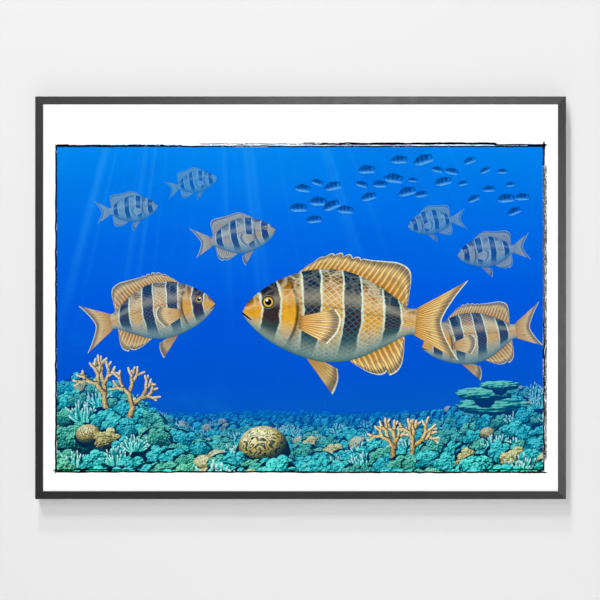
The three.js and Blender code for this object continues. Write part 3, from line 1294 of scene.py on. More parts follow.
class InkCoat(Coat):
    """A printed ink's node tree, with what it reads from the piece.

    Attributes:
        page: the place on the picture, from 0 to 1 both ways.
        haze, seed, light, heat: the painted shape's tone.
    """

    def __init__(self, tree: bpy.types.NodeTree) -> None:
        """Wires the page and the tone.

        Args:
            tree: the new material's node tree.
        """
        super().__init__(tree)
        low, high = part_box("print_picture")
        moved = self.object_point() - tuple(low)
        across, _, up = (moved * (1 / (high.x - low.x), 0.0, 1 / (high.z - low.z))).parts()
        self.page = self.vector(across, up)
        tone = self.node("ShaderNodeAttribute", attribute_name=TONE)
        self.heat = Signal(self, tone.socket.node.outputs["Alpha"])
        self.haze, self.seed, self.light = tone.parts()

    def water(self) -> Signal:
        """The open water's colour here."""
        return self.place(WATER_COLOUR, self.page)[0]

    def caustics(self, scale: float) -> Signal:
        """The net of light that waves throw here."""
        return self.place(CAUSTICS, self.page, scale)[0]


@dataclass(frozen=True)
class PrintedInk(Finish):
    """Ink on matte paper; each kind of painted thing draws its own picture with it."""

    graph: ClassVar[type] = InkCoat

    def picture(self, graph: InkCoat) -> Signal:
        """The picture's colour, before the water between it and the eye; each kind has its own."""
        raise NotImplementedError

    def wire(self, graph: InkCoat) -> None:
        """Sinks the picture's colour into the water and lays it into the paper's tooth.

        Args:
            graph: the new material's node tree.
        """
        sunk = graph.place(WATER_HAZE, graph.page, self.picture(graph), graph.haze)[0]
        height, rough = graph.place(PAPER_GRAIN, graph.object_point())
        graph.lay(sunk * (PRINT_GAIN, PRINT_GAIN, PRINT_GAIN, 1.0), rough, height, 0.1, 0.00005,
                  Specular_IOR_Level=0.0)


@dataclass(frozen=True)
class OpenWater(PrintedInk):
    """Deep blue water."""

    def picture(self, graph: InkCoat) -> Signal:
        """Draws the water's own colour with drifting grains in it.

        Args:
            graph: the new material's node tree.

        Returns:
            The colour.
        """
        wide = graph.page * (1.5, 1.0, 1.0)
        grains = graph.cells(wide, 70.0).step(0.1, 0.02) * graph.noise(wide, 40.0, 1.0).step(0.58, 0.66)
        return graph.mix(grains * 0.5, graph.water(), "7fd0ff")


@dataclass(frozen=True)
class Coral(PrintedInk):
    """A rounded lump of coral, lit from the upper left."""

    # hollow, dark, middle and bright: its colours from shade to light
    hollow: str = "031a26"
    dark: str = "025258"
    middle: str = "0aaea6"
    bright: str = "6ceedd"
    other: str = "6fc8ff"  # what its heat tints it with
    relief: float = 2.2  # how strongly its knobs catch the light
    knobs: float = 2.4  # how many knobs cross it

    def toned(self, graph: Graph, shade: Signal) -> Signal:
        """The coral's colour at a shade from 0 to 1."""
        return graph.ramp(
            shade, (0.1, self.hollow), (0.4, self.dark), (0.67, self.middle), (0.98, self.bright))

    def picture(self, graph: InkCoat) -> Signal:
        """Shades a dome with knobs on it.

        Args:
            graph: the new material's node tree.

        Returns:
            The colour.
        """
        shade, gap = graph.place(LOBE, graph.form(), graph.seed, self.knobs, self.relief)
        shade = shade * graph.light
        colour = self.toned(graph, shade)
        colour = graph.mix(graph.heat * 0.6, colour, colour * self.other)
        colour = graph.mix(gap * 0.75, colour, self.hollow)
        glow = graph.caustics(17.0) * shade.step(0.35, 0.9)
        return graph.mix(glow * 0.35, colour, self.bright)


@dataclass(frozen=True)
class BrainCoral(Coral):
    """A boulder of brain coral with winding grooves."""

    def picture(self, graph: InkCoat) -> Signal:
        """Shades a dome and cuts winding grooves into it.

        Args:
            graph: the new material's node tree.

        Returns:
            The colour.
        """
        form = graph.form()
        x, y, _ = form.parts()
        near = (1.0 - (x * x + y * y)).of("SQRT")
        wrap = graph.math("DIVIDE", 1.0, near + 0.5)
        spot = form * graph.vector(wrap, wrap) + graph.vector(graph.seed * 53.0, graph.seed)
        winding = spot.parts()[0] * 24.0 + graph.noise(spot, 3.2, 1.5, 0.5) * 44.0
        groove = winding.of("SINE") * 0.5 + 0.5
        lit = y * 0.55 - x * 0.28 + near * 0.5 + 0.22
        colour = self.toned(graph, lit * groove.step(0.08, 0.62).span(0.3, 1.0) * graph.light)
        glow = graph.caustics(17.0) * lit.step(0.5, 1.0)
        return graph.mix(glow * 0.3, colour, self.bright)


@dataclass(frozen=True)
class Branch(Coral):
    """A finger of branching coral: a rounded stem along the pattern map, with a pale tip."""

    tip: str = "fff6d8"  # the tip's colour

    def picture(self, graph: InkCoat) -> Signal:
        """Shades a round stem with knobs in rows.

        Args:
            graph: the new material's node tree.

        Returns:
            The colour.
        """
        along, side, _ = graph.form().parts()
        spot = graph.vector(along * 5.0 + graph.seed * 41.0, side * 1.2)
        knobs = graph.cells(spot, 2.2, "SMOOTH_F1")
        shade = (1.0 - side * side).of("SQRT") * 0.72 + side * 0.3 - knobs * 0.75 + along * 0.16 + 0.26
        return graph.mix(along.step(0.72, 1.0) * 0.85, self.toned(graph, shade * graph.light), self.tip)


@dataclass(frozen=True)
class Rock(Coral):
    """Shaded rock and rubble between the corals, on the page's own coordinates."""

    def picture(self, graph: InkCoat) -> Signal:
        """Draws rough stone, darkest in its hollows.

        Args:
            graph: the new material's node tree.

        Returns:
            The colour.
        """
        spot = graph.page * (1.5, 1.0, 1.0) + graph.vector(graph.seed * 9.0)
        here, there = (graph.noise(p, 34.0, 6.0, 0.7) for p in (spot, spot + (-0.003, 0.006, 0.0)))
        return self.toned(graph, ((here - there) * 2.6 + here * 0.6) * graph.light)


@dataclass(frozen=True)
class FishSkin(PrintedInk):
    """A banded reef fish's flank: the pattern map runs snout to tail and belly to back."""

    # ridge, back, flank and belly: its colours from above to below
    ridge: str = "5d4614"
    back: str = "c8881a"
    flank: str = "ffc23a"
    belly: str = "fff6d6"
    band: str = "0a1a36"  # the colour of its bands
    outline: str = "d6fff2"  # the colour along the bands and round the scales
    scale_rows: float = 22.0  # rows of scales from belly to back
    band_pitch: float = 0.235  # the distance between its bands, as a share of its body
    first_band: float = 0.165  # where the first one is
    gill: float = 0.315  # where the gill cover ends

    def scales(self, graph: Graph, along: Signal, around: Signal, seed: Signal) -> list[Signal]:
        """Draws rows of lapping scales: their rims, their shaded fronts and each one's own tone.

        Args:
            graph: the new material's node tree.
            along: the way from snout to tail.
            around: the way round the flank.
            seed: the fish's own number.

        Returns:
            The rims, the fronts and the tones.
        """
        across, up = along * (1.05 * self.scale_rows), around * (0.5 * self.scale_rows)
        diamond = graph.vector(across + up + graph.seed * 31.0, across - up)
        rim = graph.cells(diamond, 1.0, "DISTANCE_TO_EDGE", 0.22, flat=True).step(0.12, 0.03)
        middle = graph.cells(diamond, 1.0, "F1", 0.22, "Position", flat=True)
        own = graph.cells(diamond, 1.0, "F1", 0.22, "Color", flat=True).parts()[0]
        x, y, _ = (diamond - middle).parts()
        return [rim, (x + y).step(0.35, -0.7), own]

    def picture(self, graph: InkCoat) -> Signal:
        """Lays bands and lapping scales over a countershaded flank and lights it from above.

        Args:
            graph: the new material's node tree.

        Returns:
            The colour.
        """
        form = graph.form()
        along, side, _ = form.parts()
        up = side * 0.5 + 0.5
        base = graph.ramp(
            up, (0.06, self.belly), (0.4, self.flank), (0.78, self.back), (0.98, self.ridge))
        silver = graph.ramp(up, (0.05, "eafff8"), (0.5, "7fd6da"), (1.0, "1a6f96"))
        base = graph.mix(graph.heat, base, silver)
        drift = graph.noise(form * (9.0, 1.6, 1.0), 1.0, 3.0, 0.6) * 0.05
        bowed = along + drift + side * side * 0.03 - (self.first_band + 0.025)
        wave = (bowed * (2 * math.pi / self.band_pitch)).of("COSINE")
        low = side.step(-1.02, -0.5)
        band, edging = wave.step(0.22, 0.42) * low, wave.step(-0.12, 0.1) * wave.step(0.34, 0.2) * low
        rim, front, own = self.scales(graph, along, (side * 0.97).of("ARCSINE") * 0.6366, graph.seed)
        scaled = (along + side * side * 0.08).step(self.gill - 0.02, self.gill + 0.03)
        colour = graph.mix(own * 0.3, base, base * "c49a58")
        colour = graph.mix(band * 0.95, colour, self.band)
        colour = graph.mix(front * scaled * 0.55, colour, colour * "9a8248")
        pale = graph.mix(band, self.outline, "3f86a6")
        colour = graph.mix(rim * scaled * band.span(0.5, 0.6), colour, pale)
        colour = graph.mix(edging * 0.75, colour, self.outline)
        cheek = along + side * side * 0.08 - self.gill
        crease = cheek.of("ABSOLUTE").step(0.014, 0.003) * side.of("ABSOLUTE").step(0.85, 0.6)
        shadow = cheek.step(0.06, 0.0) * cheek.step(-0.004, 0.0)
        colour = graph.mix(shadow * 0.4, colour, colour * "6d6a58")
        colour = graph.mix(crease * 0.8, colour, "2e2712")
        freckles = graph.noise(form * (34.0, 9.0, 1.0), 1.6, 3.0).step(0.54, 0.66)
        colour = graph.mix(freckles * along.step(0.34, 0.26) * 0.4, colour, colour * "8f7a4a")
        thread = (side - 0.34 + along * 0.3).of("ABSOLUTE").step(0.035, 0.01) * scaled
        colour = graph.mix(thread * 0.35, colour, "4d4420")
        near = (1.0 - side * side).of("SQRT")
        lit = ((side * 0.46 + near * 0.66) * 0.84 + 0.34) * graph.light
        colour = colour * graph.vector(lit, lit, lit)
        colour = graph.mix(side.step(-0.15, -1.0) * 0.26, colour, "4fb9c4")
        shine = graph.caustics(26.0) * side.step(0.1, 0.7)
        colour = graph.mix(shine * band.span(0.34, 0.08), colour, "fff6cf")
        return graph.mix((side - 0.4).of("ABSOLUTE").step(0.28, 0.0) * 0.2, colour, "fff3c4")


@dataclass(frozen=True)
class FishFin(PrintedInk):
    """A thin fin: the pattern map counts its rays and runs from its root to its rim."""

    root: str = "d08a14"  # the colour where it leaves the body
    web: str = "ffd040"  # the colour between its rays
    rim: str = "0a2142"  # the dark band near its edge
    pale: str = "dcfff4"  # the colour of the edge itself

    def picture(self, graph: InkCoat) -> Signal:
        """Draws rays over a web that the water shows through, with a dark rim inside a pale one.

        Args:
            graph: the new material's node tree.

        Returns:
            The colour.
        """
        form = graph.form()
        ray, out, _ = form.parts()
        turn = (ray + graph.noise(form * (0.5, 2.5, 1.0), 1.0, 2.0) * 0.5) * (2 * math.pi)
        split = (turn * 2.0).of("COSINE").step(0.2, 0.9) * out.step(0.4, 0.75)
        ribs = graph.math("MAXIMUM", turn.of("COSINE").step(0.0, 0.75), split)
        body = graph.mix(out.step(0.0, 0.75), self.root, self.web)
        body = graph.mix(graph.heat, body, "7fd8dc")
        thin = graph.mix(out.step(0.05, 0.9) * 0.5, body, graph.water())
        web = graph.mix(0.42, thin, "6e4a12")
        colour = graph.mix(ribs, web, graph.mix(0.35, body, "fff3c0"))
        blotch = graph.noise(form * (0.35, 2.5, 1.0), 1.3, 3.0).step(0.52, 0.68)
        colour = graph.mix(blotch * 0.35, colour, "7c5a1c")
        colour = graph.mix(out.step(0.66, 0.88) * out.step(0.98, 0.93) * 0.62, colour, self.rim)
        colour = graph.mix(out.step(0.94, 0.98) * 0.6, colour, self.pale)
        colour = graph.mix(out.step(0.16, 0.0) * 0.55, colour, "3a2c12")
        return colour * graph.vector(graph.light, graph.light, graph.light)


@dataclass(frozen=True)
class FishEye(PrintedInk):
    """A fish's eye on a disc from 0 in its middle to 1 at its rim."""

    def picture(self, graph: InkCoat) -> Signal:
        """Draws the pupil, the iris and the dark socket.

        Args:
            graph: the new material's node tree.

        Returns:
            The colour.
        """
        form = graph.form()
        x, y, _ = form.parts()
        radius = (x * x + y * y).of("SQRT")
        colour = graph.ramp(
            radius, (0.0, "02060c"), (0.46, "050b14"), (0.52, "ffd964"),
            (0.7, "c98f22"), (0.8, "2a2414"), (0.9, "0b1522"), (1.0, "9fc7bd"))
        colour = graph.mix(graph.noise(form, 6.0, 3.0) * 0.3, colour, "0f1a26")
        gx, gy = x + 0.22, y - 0.26
        return graph.mix((gx * gx + gy * gy).step(0.05, 0.015), colour, "ffffff")


@dataclass(frozen=True)
class FarFish(PrintedInk):
    """A fish so far off that only its shape shows, with a pale belly and faint bands."""

    def picture(self, graph: InkCoat) -> Signal:
        """Draws the water's colour, darker at the back and lighter at the belly.

        Args:
            graph: the new material's node tree.

        Returns:
            The colour.
        """
        along, side, _ = graph.form().parts()
        water = graph.water()
        band = (along * 26.0).of("COSINE").step(0.2, 0.7) * 0.3
        dusky = graph.mix(side.step(-0.5, 0.5).span(0.1, 0.62) + band, water, "02336f")
        return graph.mix(side.step(0.0, -0.8) * 0.5, dusky, "79d0f4")


@dataclass(frozen=True)
class BrushInk(Finish):
    """Ink brushed on the paper."""

    dense: str = "060607"  # its colour where it is thick
    thin: str = "1e2226"  # its colour where the brush ran dry

    def wire(self, graph: Coat) -> None:
        """Draws ink that is thin where the brush ran dry.

        Args:
            graph: the new material's node tree.
        """
        point = graph.object_point()
        height, rough = graph.place(PAPER_GRAIN, point)
        colour = graph.mix(graph.noise(point, 420.0, 4.0, 0.7).step(0.5, 0.75), self.dense, self.thin)
        graph.lay(colour, rough, height, 0.12, 0.00006, Specular_IOR_Level=0.0)


class Ink(Enum):
    """What each painted shape is printed with."""

    WATER = OpenWater("Ink, open water")
    ROCK = Rock("Ink, rock", dark="063d48", middle="128079")
    TURQUOISE = Coral("Ink, turquoise coral")
    TEAL = Coral(
        "Ink, teal coral", hollow="03231f", dark="0a5a44", middle="209a7c",
        bright="84e2b8", knobs=3.2)
    GOLD = Coral(
        "Ink, gold coral", hollow="15251f", dark="6d6424", middle="d6b03a",
        bright="fff3b0", knobs=3.0)
    BRAIN = BrainCoral(
        "Ink, brain coral", hollow="0c2026", dark="4e5e2c", middle="cdb04e",
        bright="fff6c4")
    STAGHORN = Branch(
        "Ink, staghorn coral", hollow="10242c", dark="7d622a", middle="dfb857",
        bright="fff2c8")
    FINGER = Branch(
        "Ink, finger coral", hollow="03212c", dark="066a6c", middle="22c2b2",
        bright="a0fbe6", tip="dcfff6")
    SKIN = FishSkin("Ink, fish skin")
    FIN = FishFin("Ink, fish fin")
    EYE = FishEye("Ink, fish eye")
    FAR_FISH = FarFish("Ink, far fish")
    BLACK = BrushInk("Ink, black line")
    CHARCOAL = BrushInk("Ink, charcoal", "515253", "a2a3a4")


# ---- Artwork: what it shows ----


class Layer(Enum):
    """The pieces that the picture's ink is cut into."""

    WATER = "picture_water"
    FAR_REEF = "picture_far_reef"
    NEAR_REEF = "picture_near_reef"
    SHOAL = "picture_shoal"


@dataclass(frozen=True)
class Look:
    """How a shape is printed."""

    ink: Ink  # what it is printed with
    layer: Layer  # the piece that it belongs to
    # haze, seed, light and heat: its tone
    haze: float = 0.0
    seed: float = 0.0
    light: float = 1.0
    heat: float = 0.0
    patch: int = 0  # its patch of the bake map


@dataclass
class Shape:
    """One flat painted shape."""

    look: Look  # how it is printed
    outline: np.ndarray  # its closed outline on the page, in mm
    places: np.ndarray  # points on it where the pattern map is known, in mm
    forms: np.ndarray  # the pattern map there
    dense: bool = False  # whether the cut follows those points, so that the map is kept closely

    def form_at(self, points: np.ndarray) -> np.ndarray:
        """The pattern map at any points, by a plane through the nearest known ones.

        Args:
            points: the points on the page, in mm.

        Returns:
            The map's two parts at each.
        """
        away = points[:, None] - self.places[None]
        squares = (away ** 2).sum(-1)
        near = min(7, len(self.places))
        picked = np.argpartition(squares, near - 1, axis=1)[:, :near]
        rows = np.arange(len(points))[:, None]
        offsets = -away[rows, picked]
        terms = np.concatenate([np.ones((*offsets.shape[:2], 1)), offsets], axis=2)
        weighted = terms / (squares[rows, picked] + 1e-4)[..., None]
        square = np.einsum("nki,nkj->nij", weighted, terms) + np.eye(3) * 1e-6
        right = np.einsum("nki,nkc->nic", weighted, self.forms[picked])
        return np.linalg.solve(square, right)[:, 0]


def through(points: Sequence[Spot], count: int) -> np.ndarray:
    """A smooth curve through points, from the first to the last, as evenly numbered samples.

    Args:
        points: the points.
        count: how many samples to give.

    Returns:
        The samples.
    """
    known = np.array(points, float)
    padded = np.vstack([2 * known[0] - known[1], known, 2 * known[-1] - known[-2]])
    places = np.linspace(0, len(known) - 1, count)
    start = np.minimum(places.astype(int), len(known) - 2)
    t = (places - start)[:, None]
    a, b, c, d = (padded[start + i] for i in range(4))
    square, cube = 2 * a - 5 * b + 4 * c - d, 3 * b - a - 3 * c + d
    return 0.5 * (2 * b + (c - a) * t + square * t ** 2 + cube * t ** 3)


def strip(look: Look, low: np.ndarray, high: np.ndarray, rows: int, first: float,
          along: np.ndarray) -> Shape:
    """A shape between two curves.

    Args:
        look: how it is printed.
        low: the first curve.
        high: the second curve, with as many points.
        rows: steps between them.
        first: the map's second part on the first curve; on the other it is 1.
        along: the map's first part at each point of the curves.

    Returns:
        The shape.
    """
    shares = np.linspace(0, 1, rows + 1)
    places = np.concatenate([low + (high - low) * share for share in shares])
    forms = np.concatenate([
        np.stack([along, np.full(len(low), first + (1 - first) * share)], axis=1) for share in shares])
    return Shape(look, np.vstack([low, high[::-1]]), places, forms, dense=True)


def disc(look: Look, centre: Spot, radii: Spot, sides: int, turn: float = 0.0) -> Shape:
    """A round shape whose map runs from -1 to 1 both ways.

    Args:
        look: how it is printed.
        centre: its middle.
        radii: its half width and half height.
        sides: how many sides its outline has.
        turn: how far its first corner is turned, in radians.

    Returns:
        The shape.
    """
    angles = np.linspace(0, 2 * np.pi, sides, endpoint=False) + turn
    forms = np.vstack([np.stack([np.cos(angles), np.sin(angles)], axis=1), [[0.0, 0.0]]])
    places = np.array(centre) + forms * np.array(radii)
    return Shape(look, places[:-1], places, forms)


@dataclass
class Page:
    """The picture's page: its place in the frame and its size."""

    sheet_front: float = 0.3  # how far the sheet's front is behind the picture node's front, in mm

    def __post_init__(self) -> None:
        """Reads the picture's box."""
        low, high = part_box("print_picture")
        self.left, self.bottom = low.x, low.z
        self.width, self.height = (high.x - low.x) / MM, (high.z - low.z) / MM
        self.paper = low.y + self.sheet_front * MM

    def corners(self) -> np.ndarray:
        """The page's four corners, in mm."""
        return np.array([(0.0, 0.0), (self.width, 0.0), (self.width, self.height), (0.0, self.height)])

    def skin(self, points: np.ndarray, lift: float, thickness: float = 0.03) -> np.ndarray:
        """Front and back points of a skin of ink in the row frame.

        Args:
            points: its points on the page, in mm.
            lift: how far its front stands in front of the sheet, in mm.
            thickness: how thick it is, in mm.

        Returns:
            The points, in metres: the fronts and then the backs.
        """
        across = self.left + points[:, 0] * MM
        up = self.bottom + points[:, 1] * MM
        depths = (self.paper - lift * MM, self.paper - (lift - thickness) * MM)
        return np.vstack([np.stack([across, np.full(len(points), depth), up], axis=1) for depth in depths])


@dataclass
class Reef:
    """The reef along the bottom: rows of coral from the far haze to the near edge."""

    page: Page
    horizon: float = 106.0  # how high the far end of the ground is, in mm on the page
    near: float = -30.0  # how low its near end is
    rows: int = 15  # how many rows of coral there are
    far: float = 7.0  # how many times as far the last row is as the first
    size: float = 30.0  # the radius of a near clump, in mm
    near_piece: float = 2.0  # rows nearer than this are in the near piece
    thinning: float = 0.24  # how fast colours sink into the water with depth
    seed: int = 41  # what the random draws start from
    shapes: list[Shape] = field(default_factory=list)

    # each head of coral: its height, middle and width in mm, its depth, and its reach in depth
    HEADS = ((92, 40, 112, 2.0, 0.6), (62, 715, 115, 2.8, 0.65))

    def __post_init__(self) -> None:
        """Starts the seeded draws and the depth of the row at hand."""
        self.draw = np.random.default_rng(self.seed)
        self.depth = self.far

    def ground(self, across: np.ndarray | float) -> np.ndarray | float:
        """How high the ground is on the page at this depth, with its two heads of coral.

        Args:
            across: how far along the page, in mm.

        Returns:
            The height, in mm.
        """
        level = self.horizon - (self.horizon - self.near) / self.depth
        for height, middle, width, at, reach in self.HEADS:
            fade = math.exp(-((math.log(self.depth / at) / reach) ** 2))
            level = level + height * np.exp(-(((across - middle) / width) ** 2)) * fade
        return level + 7 * np.sin(across / 61 + 3 * self.depth) / self.depth ** 0.5

    def look(self, ink: Ink, light: float = 1.0, heat: float = 0.0) -> Look:
        """How a shape at this depth is printed; each call draws a seed.

        Args:
            ink: what it is printed with.
            light: how bright it is.
            heat: its tint.

        Returns:
            How it is printed.
        """
        haze = 1 - math.exp(-self.thinning * (self.depth - 1))
        layer = Layer.NEAR_REEF if self.depth < self.near_piece else Layer.FAR_REEF
        return Look(ink, layer, haze, float(self.draw.random()), light, heat)

    def round(self, look: Look, x: float, y: float, radii: Spot, sides: int) -> None:
        """Adds a disc with its corners turned by chance."""
        self.shapes.append(disc(look, (x, y), radii, sides, float(self.draw.random())))

    def base(self, x: float, y: float, wide: float, high: float, sides: int, light: float = 0.35) -> None:
        """Adds the dark rock under a coral."""
        self.round(self.look(Ink.ROCK, light), x, y, (wide, high), sides)

    def bed(self) -> None:
        """Adds the rock that a row stands on, down to the page's edge."""
        across = np.linspace(-20, self.page.width + 20, 36 if self.depth > 3 else 24)
        rough = self.draw.normal(0, 5 / self.depth, len(across))
        top = np.stack([across, self.ground(across) + rough], axis=1)
        low = np.stack([across, np.full(len(across), -60.0)], axis=1)
        places = np.vstack([low, top])
        self.shapes.append(Shape(self.look(Ink.ROCK, 0.8), np.vstack([low, top[::-1]]), places, places))

    def cauliflower(self, x: float, y: float, radius: float, ink: Ink) -> None:
        """Adds a clump of rounded lobes, the back ones first.

        Args:
            x: its middle's place along the page, in mm.
            y: its middle's height, in mm.
            radius: its radius, in mm.
            ink: what it is printed with.
        """
        self.base(x, y, 1.06 * radius, 0.78 * radius, 15, 0.42)
        heat = float(self.draw.random())
        rings = ((6, 0.74, 0.36), (5, 0.42, 0.38), (2, 0.1, 0.4))
        if self.depth > 3.0:
            rings = ((1, 0.1, 0.92),) if self.depth > 4.8 else ((3, 0.5, 0.56), (1, 0.0, 0.56))
        for count, reach, size in rings:
            for i in range(count):
                turn = math.pi * (0.5 if count == 1 else i / (count - 1) * 1.16 - 0.08)
                shift = self.draw.normal(0, 0.07, 2)
                grown = size * radius * self.draw.uniform(0.8, 1.2)
                out = reach * math.cos(turn) * 0.95 + shift[0]
                up = reach * math.sin(turn) * 0.86 - 0.16 + shift[1]
                light = 0.86 + 0.34 * up + self.draw.uniform(-0.12, 0.12)
                self.round(self.look(ink, light, heat), x + out * radius, y + up * radius,
                           (grown, 0.9 * grown), 11 if grown > 5 else 8)

    def boulder(self, x: float, y: float, radius: float) -> None:
        """Adds a dome of brain coral."""
        self.base(x, y - 0.2 * radius, 1.12 * radius, 0.85 * radius, 12)
        self.round(self.look(Ink.BRAIN), x, y, (radius, 0.82 * radius), 26)

    def finger(self, root: np.ndarray, lean: float, length: float, width: float, ink: Ink,
               light: float) -> np.ndarray:
        """Adds one tapered stem with a round end and gives its tip.

        Args:
            root: where it starts on the page, in mm.
            lean: which way it grows, in radians.
            length: how long it is, in mm.
            width: half of its width at its root, in mm.
            ink: what it is printed with.
            light: how bright it is.

        Returns:
            The tip.
        """
        shares = np.linspace(0, 1, 6)
        angles = lean + 0.3 * math.copysign(1, math.pi / 2 - lean) * shares
        steps = np.stack([np.cos(angles), np.sin(angles)], axis=1) * length / 5
        line = root + np.vstack([[0.0, 0.0], np.cumsum(steps[:-1], axis=0)])
        normals = np.stack([-np.sin(angles), np.cos(angles)], axis=1)
        side = normals * (width * np.array([1.0, 0.96, 0.9, 0.84, 0.72, 0.36])[:, None])
        self.shapes.append(strip(self.look(ink, light), line - side, line + side, 2, -1.0, shares))
        return line[-1]

    def fingers(self, x: float, y: float, radius: float) -> None:
        """Adds a thicket of stems that fan out from one root.

        Args:
            x: its root's place along the page, in mm.
            y: its height there, in mm.
            radius: the thicket's radius, in mm.
        """
        self.base(x, y - 0.2 * radius, 0.95 * radius, 0.62 * radius, 15)
        for reach, light in ((1.3, 0.66), (1.15, 0.82), (0.95, 0.98), (0.7, 1.12)):
            for turn in self.draw.permutation(9):
                lean = math.pi * (0.1 + 0.8 * (turn + self.draw.uniform(0, 1)) / 9)
                foot = x + self.draw.uniform(0.2, 0.5) * radius * math.cos(lean)
                long = radius * reach * self.draw.uniform(0.8, 1.15) * (0.7 + 0.3 * math.sin(lean))
                lit = light * self.draw.uniform(0.85, 1.1)
                self.finger(np.array([foot, y - 0.4 * radius]), lean, long, 0.09 * radius, Ink.FINGER, lit)

    def staghorn(self, root: Sequence[float], lean: float, length: float, width: float,
                 levels: int = 4) -> None:
        """Adds a branching coral: each stem forks until the levels run out.

        Args:
            root: where it starts on the page, in mm.
            lean: which way it grows, in radians.
            length: the first stem's length, in mm.
            width: half of that stem's width, in mm.
            levels: how many times it still forks.
        """
        light = self.draw.uniform(0.7, 0.9) + 0.08 * (4 - levels)
        tip = self.finger(np.array(root), lean, length, width, Ink.STAGHORN, light)
        for side in (-1, 1) if levels > 0 else ():
            start = root + (tip - root) * self.draw.uniform(0.5, 0.88)
            turned = lean + side * self.draw.uniform(0.28, 0.66)
            self.staghorn(start, turned, length * self.draw.uniform(0.68, 0.88), 0.84 * width, levels - 1)

    def plate(self, x: float, y: float, radius: float) -> None:
        """Adds flat tables of coral, one over another, each on its shaded underside.

        Args:
            x: the lowest one's place along the page, in mm.
            y: its height, in mm.
            radius: its radius, in mm.
        """
        for rise, across, size in ((0.0, 0.0, 1.0), (0.42, -0.3, 0.78), (0.7, 0.24, 0.55)):
            cx, cy, wide = x + across * radius, y + rise * radius, size * radius
            self.base(cx, cy - 0.3 * wide, 0.5 * wide, 0.4 * wide, 9)
            self.round(self.look(Ink.TEAL, 0.34), cx, cy - 0.12 * wide, (1.22 * wide, 0.26 * wide), 20)
            top = disc(self.look(Ink.TEAL, 1.18), (cx, cy), (1.28 * wide, 0.25 * wide), 40)
            ripple = 1 + 0.05 * np.sin(np.arange(40) * 2.3) + self.draw.normal(0, 0.02, 40)
            top.outline = np.array((cx, cy)) + (top.outline - np.array((cx, cy))) * ripple[:, None]
            self.shapes.append(top)

    def tuft(self, x: float, y: float, radius: float) -> None:
        """Adds whatever grows at one place of a row.

        Args:
            x: its place along the page, in mm.
            y: its height, in mm.
            radius: its radius, in mm.
        """
        kind = self.draw.random()
        ink = Ink.TURQUOISE if self.draw.random() < 0.6 else Ink.TEAL
        if kind < 0.72 or self.depth > 3.6:
            self.cauliflower(x, y, radius, ink)
        elif kind < 0.79:
            self.boulder(x, y, 0.8 * radius)
        elif kind < 0.93:
            self.fingers(x, y, radius)
        else:
            self.cauliflower(x, y, 0.85 * radius, Ink.GOLD)

    def feature(self, row: int) -> None:
        """Adds the larger corals that stand at chosen places of some rows.

        Args:
            row: the row's number, from the far end.
        """
        if row == 8:
            self.depth = 2.1
            self.plate(672.0, 104.0, 44.0)
        if row == 10:
            self.depth = 1.5
            self.staghorn((78.0, 92.0), 1.85, 34.0, 5.2)
            self.staghorn((112.0, 84.0), 1.2, 32.0, 5.0)
        if row == 11:
            self.depth = 1.3
            self.boulder(318.0, 40.0, 38.0)
            self.staghorn((520.0, 18.0), 1.75, 30.0, 5.0)
            self.staghorn((544.0, 20.0), 1.2, 27.0, 4.8)

    def paint(self) -> list[Shape]:
        """Paints the reef from back to front.

        Returns:
            The shapes.
        """
        for row in range(self.rows):
            self.depth = self.far ** (1 - row / (self.rows - 1))
            self.bed()
            radius = self.size / self.depth ** 0.8
            for across in np.arange(-radius, self.page.width + radius, 1.05 * radius):
                spot = across + self.draw.uniform(-0.3, 0.3) * radius
                grown = radius * self.draw.uniform(0.75, 1.2)
                high = self.ground(spot) + self.draw.uniform(-0.3, 0.3) * radius
                if high > -1.2 * grown:
                    self.tuft(float(spot), float(high), grown)
            self.feature(row)
        return self.shapes


